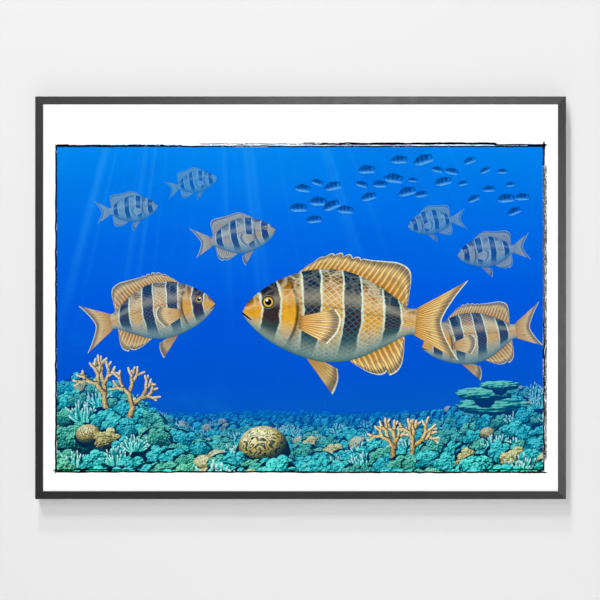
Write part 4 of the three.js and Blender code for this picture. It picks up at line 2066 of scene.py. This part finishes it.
@dataclass
class Fish:
    """One banded reef fish. It is drawn with its snout at 0 and its tail at 1, then laid on the page."""

    length: float  # from snout to tail, in mm
    place: Spot  # where its middle is on the page, in mm
    heads_right: bool = False  # whether it faces right
    pitch: float = 0.0  # how far its head is raised, in degrees
    bend: float = 0.0  # how far its tail swings, as a share of its length
    haze: float = 0.0  # how far it has sunk into the water
    heat: float = 0.0  # 0 for gold and 1 for silver
    patch: int = 0  # its patch on the bake map

    # the drawing, as shares of the length: where the trunk ends, the middle, and points on the outline
    TRUNK_END = 0.79
    MIDDLE = 0.42
    GIRTH = 0.22
    BACK = ((0.0, 0.004), (0.025, 0.048), (0.075, 0.1), (0.155, 0.156), (0.27, 0.207), (0.4, 0.226),
            (0.53, 0.2), (0.66, 0.13), (0.745, 0.072), (0.79, 0.06))
    BELLY = ((0.0, -0.014), (0.03, -0.052), (0.085, -0.098), (0.165, -0.144), (0.28, -0.184),
             (0.4, -0.2), (0.53, -0.176), (0.66, -0.11), (0.745, -0.062), (0.79, -0.054))
    TAIL_ROOT = ((0.772, -0.05), (0.782, 0.004), (0.772, 0.056))
    TAIL_RIM = ((1.0, -0.178), (0.955, -0.11), (0.918, -0.04), (0.906, 0.004), (0.92, 0.048),
                (0.96, 0.118), (1.012, 0.19))

    def lay(self, shape: Shape) -> Shape:
        """Bends, sizes, turns and places a shape, in place.

        Args:
            shape: a shape of a fish from 0 to 1.

        Returns:
            The same shape, on the page.
        """
        tilt = math.radians(-self.pitch)
        cos, sin = math.cos(tilt), math.sin(tilt)
        for name in ("outline", "places"):
            x, y = getattr(shape, name).T
            y = (y + self.bend * np.maximum(x - self.MIDDLE, 0.0) ** 2 * 2.2) * self.length
            x = (x - self.MIDDLE) * self.length
            turned = np.stack([x * cos - y * sin, x * sin + y * cos], axis=1)
            if self.heads_right:
                turned[:, 0] *= -1
            setattr(shape, name, turned + np.array(self.place))
        return shape

    def look(self, ink: Ink, light: float = 1.0) -> Look:
        """How one of the fish's shapes is printed."""
        seed = (self.place[0] * 0.0137) % 1.0
        return Look(ink, Layer.SHOAL, self.haze, seed, light, self.heat, self.patch)

    def detail(self, count: int) -> int:
        """A number of points, fewer for a smaller fish."""
        return max(4, int(count * min(1.0, (self.length / 180) ** 0.5)))

    def body(self) -> Shape:
        """The trunk and head.

        Returns:
            The shape.
        """
        count = self.detail(52)
        low, high = through(self.BELLY, count), through(self.BACK, count)
        along = (low[:, 0] + high[:, 0]) / 2 / self.TRUNK_END
        return strip(self.look(Ink.SKIN), low, high, self.detail(16), -1.0, along)

    def ridge_fin(self, edge: Sequence[Spot], start: float, end: float, heights: Sequence[float],
                  spines: int, up: int) -> Shape:
        """A fin along the back or the belly.

        Args:
            edge: the body's outline there.
            start: where the fin starts, along the fish.
            end: where it ends.
            heights: how high it is, at even steps.
            spines: how many spines notch its front half.
            up: 1 on the back, -1 on the belly.

        Returns:
            The fin.
        """
        count = self.detail(70)
        along = np.linspace(start, end, count)
        curve = through(edge, 120)
        root = np.interp(along, curve[:, 0], curve[:, 1]) - up * 0.012
        places = np.linspace(start, end, len(heights))
        smooth = through(list(zip(places, heights)), 60)
        high = np.interp(along, smooth[:, 0], smooth[:, 1])
        teeth = np.abs(np.sin(np.linspace(0, math.pi * spines * 2, count))) ** 0.6
        high = high * (1 - 0.2 * (1 - teeth) * (along < (start + end) / 2))
        rim = np.stack([along + 0.6 * high, root + up * high], axis=1)
        look, foot = self.look(Ink.FIN, 0.95), np.stack([along, root], axis=1)
        return strip(look, foot, rim, self.detail(6), 0.0, (along - start) * 46)

    def fan(self, root: Sequence[Spot], rim: Sequence[Spot], rays: float, light: float) -> Shape:
        """A fin that opens from a short root to a wide rim.

        Args:
            root: points along its root.
            rim: points along its rim.
            rays: how many rays it has.
            light: how bright it is.

        Returns:
            The fin.
        """
        count, rows = self.detail(26), self.detail(8)
        return strip(self.look(Ink.FIN, light), through(root, count), through(rim, count), rows, 0.0,
                     np.linspace(0, rays, count))

    def paint(self) -> list[Shape]:
        """Paints the fish from its far fins to its eye.

        Returns:
            The shapes, on the page.
        """
        back_heights = (0.01, 0.07, 0.09, 0.088, 0.082, 0.084, 0.104, 0.128, 0.118, 0.02)
        mouth = strip(
            self.look(Ink.ROCK, 0.2), through(((-0.003, -0.012), (0.022, -0.03), (0.044, -0.04)), 6),
            through(((-0.002, -0.004), (0.022, -0.021), (0.044, -0.036)), 6), 1, 0.0, np.linspace(0, 1, 6))
        shapes = [
            self.fan(self.TAIL_ROOT, self.TAIL_RIM, 19, 1.0),
            self.ridge_fin(self.BACK, 0.22, 0.735, back_heights, 6, 1),
            self.ridge_fin(self.BELLY, 0.5, 0.735, (0.02, 0.085, 0.122, 0.108, 0.02), 1, -1),
            self.fan(((0.29, -0.17), (0.325, -0.185), (0.36, -0.188)),
                     ((0.44, -0.345), (0.452, -0.315), (0.46, -0.27), (0.452, -0.225)), 7, 0.75),
            self.body(),
            self.fan(((0.262, -0.002), (0.256, -0.03), (0.264, -0.06)),
                     ((0.42, 0.045), (0.448, 0.005), (0.44, -0.055), (0.395, -0.118)), 11, 1.1),
            mouth,
            disc(self.look(Ink.EYE), (0.112, 0.05), (0.031, 0.031), self.detail(28)),
        ]
        return [self.lay(shape) for shape in shapes]


SHOAL = (
    Fish(96, (116, 404), True, 8, 0.05, 0.4, 0.5, 0),
    Fish(80, (214, 446), True, 12, -0.05, 0.5, 0.6, 1),
    Fish(112, (664, 338), False, -6, 0.04, 0.36, 0.3, 2),
    Fish(90, (578, 384), False, -10, -0.05, 0.45, 0.5, 3),
    Fish(128, (284, 362), True, 12, 0.06, 0.24, 0.2, 4),
    Fish(206, (158, 246), True, 9, -0.06, 0.08, 0.0, 5),
    Fish(186, (640, 204), False, -8, 0.06, 0.1, 0.0, 6),
    Fish(338, (428, 236), False, 5, 0.05, 0.0, 0.0, 7),
)


@dataclass
class FarShoal:
    """A stream of far fish: one flat blank strewn along a curve in the water."""

    page: Page
    length: float = 31.0  # the longest one's length, in mm
    # the curve's start, its two handles and its end on the page, in mm
    path: tuple[Spot, ...] = ((716.0, 420.0), (606.0, 478.0), (456.0, 460.0), (372.0, 398.0))
    width: float = 62.0  # how wide the stream is, in mm
    apart: float = 21.0  # how close two fish may be, in mm
    lift: float = 0.07  # how far their ink stands in front of the sheet, in mm

    def blank(self) -> Mesh:
        """One fish about its own middle, as a closed skin with its own pattern map.

        Returns:
            The mesh.
        """
        body = Fish(1.0, (0.0, 0.0))
        low, high = through(Fish.BELLY, 12), through(Fish.BACK, 12)
        fin = [body.ridge_fin(Fish.BACK, 0.22, 0.735, (0.02, 0.09, 0.09, 0.12, 0.02), 1, 1)]
        fin += [body.fan(Fish.TAIL_ROOT, Fish.TAIL_RIM, 19, 1.0)]
        rings = [np.vstack([low, high[::-1]]), *(shape.outline for shape in fin)]
        starts = np.cumsum([0, *(len(ring) for ring in rings)])
        faces = [list(range(a, b)) for a, b in zip(starts, starts[1:])]
        found = delaunay_2d_cdt([Vector(p) for p in np.vstack(rings).tolist()], [], faces, 0, 1e-5, True)
        flat = (np.array([tuple(v) for v in found[0]]) - (Fish.MIDDLE, 0.0)) * self.length
        tris = np.array([tri for tri, origin in zip(found[2], found[5]) if origin])
        faces = close_skin(tris, len(flat))[0]
        mesh = mesh_from("Far fish", self.page.skin(flat, self.lift), faces)
        form = mesh.uv_layers.new(name=FORM_MAP).data
        for loop in mesh.loops:
            x, z = flat[loop.vertex_index % len(flat)] / self.length
            form[loop.index].uv = (x + Fish.MIDDLE, z / Fish.GIRTH)
        return mesh

    def tree(self) -> GeometryTree:
        """A tree that strews a blank over a bent ribbon, each copy with its own turn and size.

        Returns:
            The tree.
        """
        made = GeometryTree("Far shoal", {"Width": 0.05, "Apart": 0.02, "Seed": 5})
        graph, inputs = made.graph, made.inputs
        start, *handles, end = ((x * MM, 0.0, z * MM) for x, z in self.path)
        curve = made.add("CurvePrimitiveBezierSegment", Start=start, Start_Handle=handles[0],
                         End_Handle=handles[1], End=end)
        ribbon = made.add("CurveToMesh", Curve=curve, Profile_Curve=made.across(inputs["Width"]))
        spots = made.add("DistributePointsOnFaces", {"distribute_method": "POISSON"}, Mesh=ribbon,
                         Distance_Min=inputs["Apart"], Density_Max=4000.0, Seed=inputs["Seed"])
        turn = made.any((0.0, -0.4, 0.0), (0.0, 0.3, 0.0), inputs["Seed"])
        size = graph.node("FunctionNodeRandomValue", {2: 0.45, 3: 1.0, "Seed": inputs["Seed"] + 2.0}, 1)
        made.finish(made.add("InstanceOnPoints", Points=spots, Instance=inputs["Geometry"], Rotation=turn,
                             Scale=graph.vector(size, 1.0, size)))
        return made

    def build(self) -> None:
        """Builds the stream."""
        blank = self.blank()
        corner = Vector((self.page.left, self.page.paper, self.page.bottom))
        blank.transform(Matrix.Translation(-corner))
        made = self.tree().grow("picture_far_shoal", blank, Ink.FAR_FISH.value.material(),
                                width=self.width * MM, apart=self.apart * MM, seed=5)
        made.data.transform(Matrix.Translation(corner))
        hand_over(made, "printed_picture", "print_picture")


@dataclass
class Collage:
    """Cuts overlapping painted shapes into flat pieces that lie side by side."""

    page: Page  # the page that they are cut to
    shapes: list[Shape]  # the shapes, from back to front
    columns: int = 3  # how many columns the reef's bake map is folded into
    lift: float = 0.04  # how far the ink stands in front of the sheet, in mm
    weld: float = 1e-3  # how close two points are made one, in mm
    bake_gap: float = 3.0  # the room between two patches on a bake map, in mm

    def topmost(self, points: np.ndarray) -> np.ndarray:
        """The number of the topmost shape at each point of the page.

        Args:
            points: the points, in mm.

        Returns:
            The numbers.
        """
        found = np.zeros(len(points), int)
        order = np.argsort(points[:, 0])
        sorted_x = points[order, 0]
        for number, shape in enumerate(self.shapes[1:], 1):
            low, high = shape.outline.min(0), shape.outline.max(0)
            near = order[np.searchsorted(sorted_x, low[0]):np.searchsorted(sorted_x, high[0])]
            near = near[(points[near, 1] > low[1]) & (points[near, 1] < high[1])]
            x, y = points[near].T
            (ax, ay), (bx, by) = shape.outline.T[..., None], np.roll(shape.outline, -1, axis=0).T[..., None]
            crossed = (ay > y) != (by > y)
            at = ax + (y - ay) * (bx - ax) / np.where(by == ay, 1.0, by - ay)
            found[near[(crossed & (x < at)).sum(0) % 2 == 1]] = number
        return found

    def cut(self) -> tuple[np.ndarray, np.ndarray, np.ndarray]:
        """Cuts the page along the outlines that can be seen.

        Returns:
            The points, the triangles, and each triangle's topmost shape.
        """
        rings = [self.page.corners(), *(shape.outline for shape in self.shapes[1:])]
        starts = np.cumsum([0, *(len(ring) for ring in rings)]).tolist()
        lines = [(i, i + 1 if i + 1 < b else a) for a, b in zip(starts, starts[1:]) for i in range(a, b)]
        points, tris = self.triangles(np.vstack(rings), lines)
        owners = self.topmost(points[tris].mean(1))
        seen: dict[tuple[int, int], int] = {}
        kept = []
        for tri, owner in zip(tris.tolist(), owners.tolist()):
            for a, b in zip(tri, (tri[1], tri[2], tri[0])):
                other = seen.pop((b, a), None)
                if other is None:
                    seen[(a, b)] = owner
                elif other != owner:
                    kept.append((a, b))
        used, lines = np.unique(np.array([*kept, *seen]), return_inverse=True)
        inner = np.vstack([shape.places for shape in self.shapes if shape.dense])
        numbers = np.concatenate([np.full(len(s.places), i) for i, s in enumerate(self.shapes) if s.dense])
        inner = inner[self.topmost(inner) == numbers]
        folds = [(self.page.width * i / self.columns, z) for i in range(1, self.columns)
                 for z in (0.0, self.page.height)]
        first = len(used)
        lines = lines.reshape(-1, 2).tolist() + [(first + i, first + i + 1) for i in range(0, len(folds), 2)]
        points, tris = self.triangles(np.vstack([points[used], folds, inner]), lines)
        return points, tris, self.topmost(points[tris].mean(1))

    def triangles(self, points: np.ndarray, lines: Sequence[Sequence[int]]) -> tuple[np.ndarray, np.ndarray]:
        """The page cut along lines: its points and its triangles.

        Args:
            points: the points, in mm.
            lines: pairs of their numbers.

        Returns:
            The points and the triangles.
        """
        found = delaunay_2d_cdt([Vector(p) for p in points.tolist()], lines, [], 0, self.weld, False)
        made, tris = np.array([tuple(v) for v in found[0]]), np.array(found[2])
        middles = made[tris].mean(1)
        inside = ((middles > 0) & (middles < (self.page.width, self.page.height))).all(1)
        return made, tris[inside]

    def bake_places(self, layer: Layer, owners: np.ndarray, at: np.ndarray) -> np.ndarray:
        """Packs a layer's patches side by side on its bake map.

        Args:
            layer: the layer.
            owners: its triangles' shapes.
            at: its triangles' corners on the page, in mm.

        Returns:
            The corners' places on the map.
        """
        if layer is Layer.WATER:
            return at / self.page.width
        patches = (at.mean(1)[:, 0] / self.page.width * self.columns).astype(int)
        if layer is Layer.SHOAL:
            patches = np.array([shape.look.patch for shape in self.shapes])[owners]
        boxes = {int(p): (at[patches == p].min((0, 1)), at[patches == p].max((0, 1)))
                 for p in np.unique(patches)}
        gap, room = self.bake_gap, -1.0
        side = math.sqrt(sum(float(np.prod(high - low + gap)) for low, high in boxes.values()))
        while room < 0.0:
            side *= 1.02
            spots, x, y, tall = {}, 0.0, 0.0, 0.0
            for patch, (low, high) in sorted(boxes.items(), key=lambda item: -(item[1][1] - item[1][0])[1]):
                width, height = high - low + gap
                if x + width > side:
                    x, y, tall = 0.0, y + tall, 0.0
                spots[patch] = np.array([x, y]) - low + gap / 2
                x, tall = x + width, max(tall, height)
            room = side - (y + tall) if x <= side else -1.0
        moved = np.empty_like(at)
        for patch, shift in spots.items():
            moved[patches == patch] = at[patches == patch] + shift
        return moved / side

    def forms(self, at: np.ndarray, owners: np.ndarray) -> np.ndarray:
        """The pattern map at every triangle corner.

        Args:
            at: the triangles' corners on the page, in mm.
            owners: their shapes.

        Returns:
            The map.
        """
        forms = np.empty_like(at)
        order = np.argsort(owners, kind="stable")
        starts = np.searchsorted(owners[order], np.arange(len(self.shapes) + 1))
        for number, shape in enumerate(self.shapes):
            mine = order[starts[number]:starts[number + 1]]
            if len(mine):
                forms[mine] = shape.form_at(at[mine].reshape(-1, 2)).reshape(-1, 3, 2)
        return forms

    def skin(self, layer: Layer, points: np.ndarray, tris: np.ndarray, owners: np.ndarray) -> None:
        """Makes one layer a thin closed skin of ink and hands it over.

        Args:
            layer: the layer.
            points: the points of the whole page.
            tris: the layer's triangles.
            owners: their shapes.
        """
        used, local = np.unique(tris, return_inverse=True)
        local = local.reshape(-1, 3)
        at = points[tris]
        looks = [self.shapes[owner].look for owner in owners]
        tones = np.array([(look.haze, look.seed, look.light, look.heat) for look in looks])
        faces, rims = close_skin(local, len(used))
        mesh = mesh_from(layer.value, self.page.skin(points[used], self.lift), faces)
        first, start = np.array(rims).T

        def spread(values: np.ndarray) -> np.ndarray:
            """Repeats the front's corner values on the back and round the rim.

            Args:
                values: three corners' values for each front triangle.

            Returns:
                The values for all of the skin's corners.
            """
            here, there = values[first, start], values[first, (start + 1) % 3]
            parts = (values, values[:, ::-1], np.stack([there, here, here, there], axis=1))
            return np.concatenate([part.reshape(-1, values.shape[-1]) for part in parts]).astype(np.float32)

        maps = {BAKE_MAP: self.bake_places(layer, owners, at), FORM_MAP: self.forms(at, owners)}
        for name, values in maps.items():
            mesh.uv_layers.new(name=name).data.foreach_set("uv", spread(values).ravel())
        tone = mesh.attributes.new(TONE, "FLOAT_COLOR", "CORNER")
        tone.data.foreach_set("color", spread(np.repeat(tones[:, None], 3, axis=1)).ravel())
        slots = list(dict.fromkeys(look.ink for look in looks))
        for ink in slots:
            mesh.materials.append(ink.value.material())
        index = np.array([slots.index(look.ink) for look in looks], np.int32)
        mesh.polygons.foreach_set("material_index", np.concatenate([index, index, index[first]]))
        mesh.update()
        hand_over(link(layer.value, mesh), "printed_picture", "print_picture")

    def build(self) -> None:
        """Cuts the collage into its pieces."""
        points, tris, owners = self.cut()
        log.info("artwork: %d shapes, %d triangles", len(self.shapes), len(tris))
        layers = np.array([list(Layer).index(shape.look.layer) for shape in self.shapes])[owners]
        for number, layer in enumerate(Layer):
            self.skin(layer, points, tris[layers == number], owners[layers == number])


@dataclass(frozen=True)
class Stroke:
    """One pull of a brush round the picture."""

    start: Spot  # where it starts on the page, in mm
    length: float  # how long it is, in mm
    width: float  # how wide it is, in mm
    wet: float = 0.3  # how dry the brush is at its start, from 0 to 1
    dry: float = 0.3  # how dry it is at its end
    upright: bool = False  # whether it runs up the page instead of across it
    ink: Ink = Ink.BLACK  # what it is brushed with


@dataclass
class InkBorder:
    """The rough black line that is brushed round the picture, in several pulls that overshoot."""

    page: Page
    step: float = 0.9  # the length of a ribbon's facets, in mm
    thickness: float = 0.02  # how thick the ink is, in mm
    lift: float = 0.07  # how far the first stroke stands in front of the sheet, in mm
    wobble: float = 0.25  # how far a stroke strays from its line, in mm
    bend_every: float = 9.0  # how far apart its bends are, in mm
    apart: float = 0.004  # how much further out each next stroke lies, in mm
    seed: int = 12  # what the random draws start from

    STROKES = (
        Stroke((-1.6, 502.7), 22, 4.4, 0.1, 0.3), Stroke((-1.5, 502.6), 196, 3.4, 0.12, 0.5),
        Stroke((-1.0, 501.9), 751, 2.1, 0.2, 0.2), Stroke((218, 505.4), 162, 1.4, 0.46, 0.4),
        Stroke((378, 505.7), 150, 3.8, 0.46, 0.3), Stroke((505, 506.1), 173, 3.5, 0.12, 0.16),
        Stroke((672, 504.3), 84, 2.4, 0.15, 0.3), Stroke((724, 502.3), 30, 2.8, 0.3, 0.15),
        Stroke((750.4, 470.4), 40, 3.0, 0.1, 0.2, True), Stroke((749.6, 495.0), 12, 4.2, 0.3, 0.2, True),
        Stroke((750.2, 224), 248, 3.0, 0.24, 0.3, True, Ink.CHARCOAL),
        Stroke((753.1, 18), 455, 3.4, 0.43, 0.46, True, Ink.CHARCOAL),
        Stroke((750.3, 1), 231, 2.4, 0.1, 0.25, True),
        Stroke((-6.3, 2.3), 14, 1.7, 0.3, 0.2), Stroke((4, 3.5), 122, 2.1, 0.12, 0.5),
        Stroke((-2, 0.3), 392, 2.5, 0.14, 0.2), Stroke((372, -0.4), 384, 2.5, 0.15, 0.25),
        Stroke((654, 3.8), 96, 1.7, 0.35, 0.25), Stroke((-2.2, -2.4), 9, 1.6, 0.2, 0.2, True),
        Stroke((-1.0, 494), 11, 2.7, 0.15, 0.15, True), Stroke((-1.3, -1.5), 498, 2.8, 0.2, 0.22, True),
    )

    def tree(self) -> GeometryTree:
        """A tree that pulls a ribbon along a path, with rough sides and gaps where the brush is dry.

        Returns:
            The tree.
        """
        made = GeometryTree("Brush stroke", {
            "Length": 0.1, "Width": 0.002, "Step": 0.001, "Wet": 0.3, "Dry": 0.3, "Thickness": 0.00002,
            "Seed": 1.0})
        graph, inputs = made.graph, made.inputs
        by_length = {"mode": "LENGTH"}
        line = made.add("MeshToCurve", Mesh=inputs["Geometry"])
        path = made.add("ResampleCurve", by_length, Curve=line, Length=inputs["Step"])
        section = made.add("ResampleCurve", by_length, Curve=made.across(inputs["Width"]),
                           Length=inputs["Step"] * 0.55)
        ribbon = made.add("CurveToMesh", Curve=path, Profile_Curve=section)
        point = made.add("InputPosition")
        x, y, z = point.parts()
        rough, swell, bristles = (
            graph.noise(point * stretch + inputs["Seed"] * shift, 1.0, detail, roughness)
            for stretch, shift, detail, roughness in (
                ((260.0, 1.0, 900.0), 7.0, 3.0, 0.7), ((35.0, 1.0, 1.0), 3.0, 2.0, 0.5),
                ((90.0, 1.0, 1500.0), 5.0, 4.0, 0.7)))
        ends = graph.math("MINIMUM", x, inputs["Length"] - x).step(0.0, 0.004).span(0.35, 1.0)
        shaped = z * (swell + 0.5) * ends + (rough - 0.5) * inputs["Width"] * 0.7
        moved = made.add("SetPosition", Geometry=ribbon, Position=graph.vector(x, y, shaped))
        dryness = inputs["Wet"] + (inputs["Dry"] - inputs["Wet"]) * (x / inputs["Length"])
        kept = made.add("DeleteGeometry", {"domain": "FACE"}, Geometry=moved,
                        Selection=graph.math("LESS_THAN", bristles, dryness))
        pulled = made.add("ExtrudeMesh", Mesh=kept, Offset=graph.vector(0.0, inputs["Thickness"]),
                          Offset_Scale=1.0, Individual=False)
        both = graph.add("GeometryNodeJoinGeometry")
        for part in (kept, pulled):
            graph.feed(both.inputs[0], part)
        made.finish(Signal(graph, both.outputs[0]))
        return made

    def build(self) -> None:
        """Brushes every stroke and joins them into one piece."""
        tree, draw, page = self.tree(), np.random.default_rng(self.seed), self.page
        inks = (Ink.BLACK, Ink.CHARCOAL)
        work = bmesh.new()
        for number, stroke in enumerate(self.STROKES):
            count = max(3, int(stroke.length / self.bend_every))
            along = np.linspace(0.0, stroke.length, count) * MM
            strayed = draw.normal(0, self.wobble, count) * MM
            path = mesh_from("Path", [(x, 0.0, z) for x, z in zip(along, strayed)], (),
                             [(i, i + 1) for i in range(count - 1)])
            pulled = tree.grow(
                f"stroke_{number}", path, stroke.ink.value.material(), length=stroke.length * MM,
                width=stroke.width * MM, step=self.step * MM, wet=stroke.wet, dry=stroke.dry,
                thickness=self.thickness * MM, seed=float(number))
            turn = Matrix.Rotation(math.radians(-90 if stroke.upright else 0), 4, "Y")
            depth = page.paper - (self.lift + self.apart * number) * MM
            place = Vector((page.left + stroke.start[0] * MM, depth, page.bottom + stroke.start[1] * MM))
            pulled.data.transform(Matrix.Translation(place) @ turn)
            slots = np.full(len(pulled.data.polygons), inks.index(stroke.ink), np.int32)
            pulled.data.polygons.foreach_set("material_index", slots)
            work.from_mesh(pulled.data)
            bpy.data.objects.remove(pulled)
        mesh = bpy.data.meshes.new("ink_border")
        work.to_mesh(mesh)
        work.free()
        tidy_mesh(mesh)
        for ink in inks:
            mesh.materials.append(ink.value.material())
        hand_over(link("ink_border", mesh), "printed_picture", "print_picture")


@dataclass
class Print:
    """The sheet with its printed picture."""

    page: Page
    soft_edge: float = 0.08  # the width of the sheet's soft edges, in mm

    def build(self) -> None:
        """Builds the sheet, the picture and the line round it."""
        page = self.page
        slab("print_paper", "print_sheet", PAPER_FINISH, "paper", page.paper, self.soft_edge)
        ring = page.corners()
        water = Shape(Look(Ink.WATER, Layer.WATER), ring, ring, ring / np.array([page.width, page.height]))
        fish = [shape for one in SHOAL for shape in one.paint()]
        Collage(page, [water, *Reef(page).paint(), *fish]).build()
        FarShoal(page).build()
        InkBorder(page).build()


# ---- Studio ----


@dataclass(frozen=True)
class Lamp:
    """A soft rectangular lamp that faces the frame."""

    name: str  # its name
    place: Corner  # where it stands, in metres
    sizes: Spot  # its width and height, in metres
    power: float  # its power in watts
    # how the names start of the pieces that it is kept to or off; none for every piece
    starts: tuple[str, ...] = ()
    state: str = "INCLUDE"  # INCLUDE to keep it to them, EXCLUDE to keep it off them
    shadow: bool = True  # whether it throws shadows


PRINTED = ("picture_", "print_paper", "ink_")
BARS = ("moulding_",)
LEVEL_BARS = ("moulding_top", "moulding_bottom")
UPRIGHT_BARS = ("moulding_left", "moulding_right")
FRONT = (*PRINTED, *BARS, "glazing")
SMALL = (0.35, 0.35)
WIDE = (0.8, 0.8)
LAMPS = (
    Lamp("High key", (-1.4, -2.9, 3.3), (1.1, 0.8), 84.0, FRONT, "EXCLUDE"),
    Lamp("Ceiling", (-0.5, -1.6, 3.3), SMALL, 52.0, FRONT, "EXCLUDE"),
    Lamp("Left key", (-1.1, -2.9, 1.0), (0.35, 1.2), 24.0, FRONT, "EXCLUDE"),
    Lamp("Low wash", (-0.2, -2.9, -1.6), WIDE, 24.0, FRONT, "EXCLUDE", False),
    Lamp("Right wash", (1.8, -2.9, -0.3), WIDE, 37.0, FRONT, "EXCLUDE", False),
    Lamp("Print light", (0.0, -3.2, -0.3), (0.7, 0.7), 117.0, PRINTED),
    Lamp("Bar right", (1.8, -2.9, -0.8), SMALL, 24.0, BARS),
    Lamp("Level middle", (0.26, -2.9, 0.6), SMALL, 43.0, LEVEL_BARS),
    Lamp("Level left", (-1.8, -2.9, 0.2), SMALL, 14.0, LEVEL_BARS),
    Lamp("Upright left", (-1.8, -2.9, 2.0), SMALL, 128.0, UPRIGHT_BARS),
    Lamp("Upright right", (1.1, -2.9, -0.35), SMALL, 23.0, UPRIGHT_BARS),
    Lamp("Behind left", (-1.4, 1.6, 1.0), (1.2, 1.2), 40.0),
    Lamp("Behind right", (1.5, 1.8, 0.6), (1.2, 1.2), 28.0),
)


@dataclass
class Studio:
    """The wall, the floor, the lights and the camera."""

    outline: Outline
    lens: float = 85.9  # the camera's focal length for a 36 mm sensor, in mm
    camera_at: Corner = (-0.9, -2222.5, -307.1)  # where the camera stands in the row frame, in mm
    wall_size: float = 7.0  # the wall's width, in metres
    floor_drop: float = 1.35  # how far the floor is below the frame, in metres
    sensor: float = 36.0  # the sensor's width, in mm
    air: float = 0.025  # how bright the air is that lights the room
    seen_air: float = 0.86  # how bright it looks

    def camera(self) -> None:
        """Makes the camera, level and square to the wall."""
        data = bpy.data.cameras.new("Camera")
        data.lens = self.lens
        data.sensor_width = self.sensor
        made = link("Camera", data)
        made.location = Vector(self.camera_at) * MM
        made.rotation_euler = (math.radians(90), 0.0, 0.0)
        bpy.context.scene.camera = made

    def lamp(self, lamp: Lamp) -> None:
        """Makes one lamp, turned to the frame and kept to what it lights.

        Args:
            lamp: what it is like.
        """
        data = bpy.data.lights.new(lamp.name, "AREA")
        data.shape = "RECTANGLE"
        data.size, data.size_y = lamp.sizes
        data.energy = lamp.power
        data.use_shadow = lamp.shadow
        made = link(lamp.name, data)
        made.location = lamp.place
        made.rotation_euler = (self.outline.middle - Vector(lamp.place)).to_track_quat("-Z", "Y").to_euler()
        if lamp.starts:
            lit = bpy.data.collections.new(f"{lamp.name} light")
            for piece in bpy.data.objects:
                if piece.name.startswith(lamp.starts):
                    lit.objects.link(piece)
            made.light_linking.receiver_collection = lit
            for entry in lit.collection_objects:
                entry.light_linking.link_state = lamp.state

    def lights(self) -> None:
        """Lights the wall, the print, the bars and the back, and fills the air with a little light."""
        for lamp in LAMPS:
            self.lamp(lamp)
        world = bpy.data.worlds.new("Studio air")
        bpy.context.scene.world = world
        world.use_nodes = True
        graph = Graph(world.node_tree)
        seen = graph.node("ShaderNodeLightPath", output="Is Camera Ray").span(self.air, self.seen_air)
        air = world.node_tree.nodes["Background"]
        graph.feed(air.inputs["Color"], "fbfbfc")
        graph.feed(air.inputs["Strength"], seen)

    def plane(self, name: str, points: Sequence[Corner], finish: Finish) -> Thing:
        """Makes one flat of the studio.

        Args:
            name: its name.
            points: its corners, in metres.
            finish: its finish.

        Returns:
            The flat.
        """
        made = link(name, mesh_from(name, points, [(0, 1, 2, 3)]))
        made.data.materials.append(finish.material())
        return made

    def backdrop(self) -> None:
        """Makes the wall behind the frame and the floor below it."""
        half = self.wall_size / 2
        z = self.outline.low.z - self.floor_drop
        wall = self.plane("wall", [(-half, 0.0, z), (half, 0.0, z), (half, 0.0, half), (-half, 0.0, half)],
                          StudioPaint("Wall paint", "dedede", True))
        wall.visible_diffuse = wall.visible_glossy = wall.visible_shadow = False
        self.plane("floor", [(-half, -half, z), (half, -half, z), (half, half, z), (-half, half, z)],
                   StudioPaint("Floor paint", "d8d8d8"))

    def build(self) -> None:
        """Builds the studio and sets how light turns into picture tones."""
        self.camera()
        self.lights()
        self.backdrop()
        bpy.context.scene.view_settings.view_transform = "Standard"


def main() -> None:
    """Builds the framed print and the studio around it."""
    logging.basicConfig(level=logging.INFO, format="%(name)s %(message)s")
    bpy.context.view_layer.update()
    outline = Outline()
    moulding = Moulding(outline)
    moulding.build()
    rows = row_tree()
    Points(outline, moulding.wall).build(rows)
    Hangers().build(rows)
    Bumpers().build()
    dress_nodes()
    board = "backing_board"
    slab("hardboard_back", board, BOARD_FINISH, board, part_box(board)[0].y, BOARD_EDGE)
    Print(Page()).build()
    Studio(outline).build()


if __name__ == "__main__":
    main()
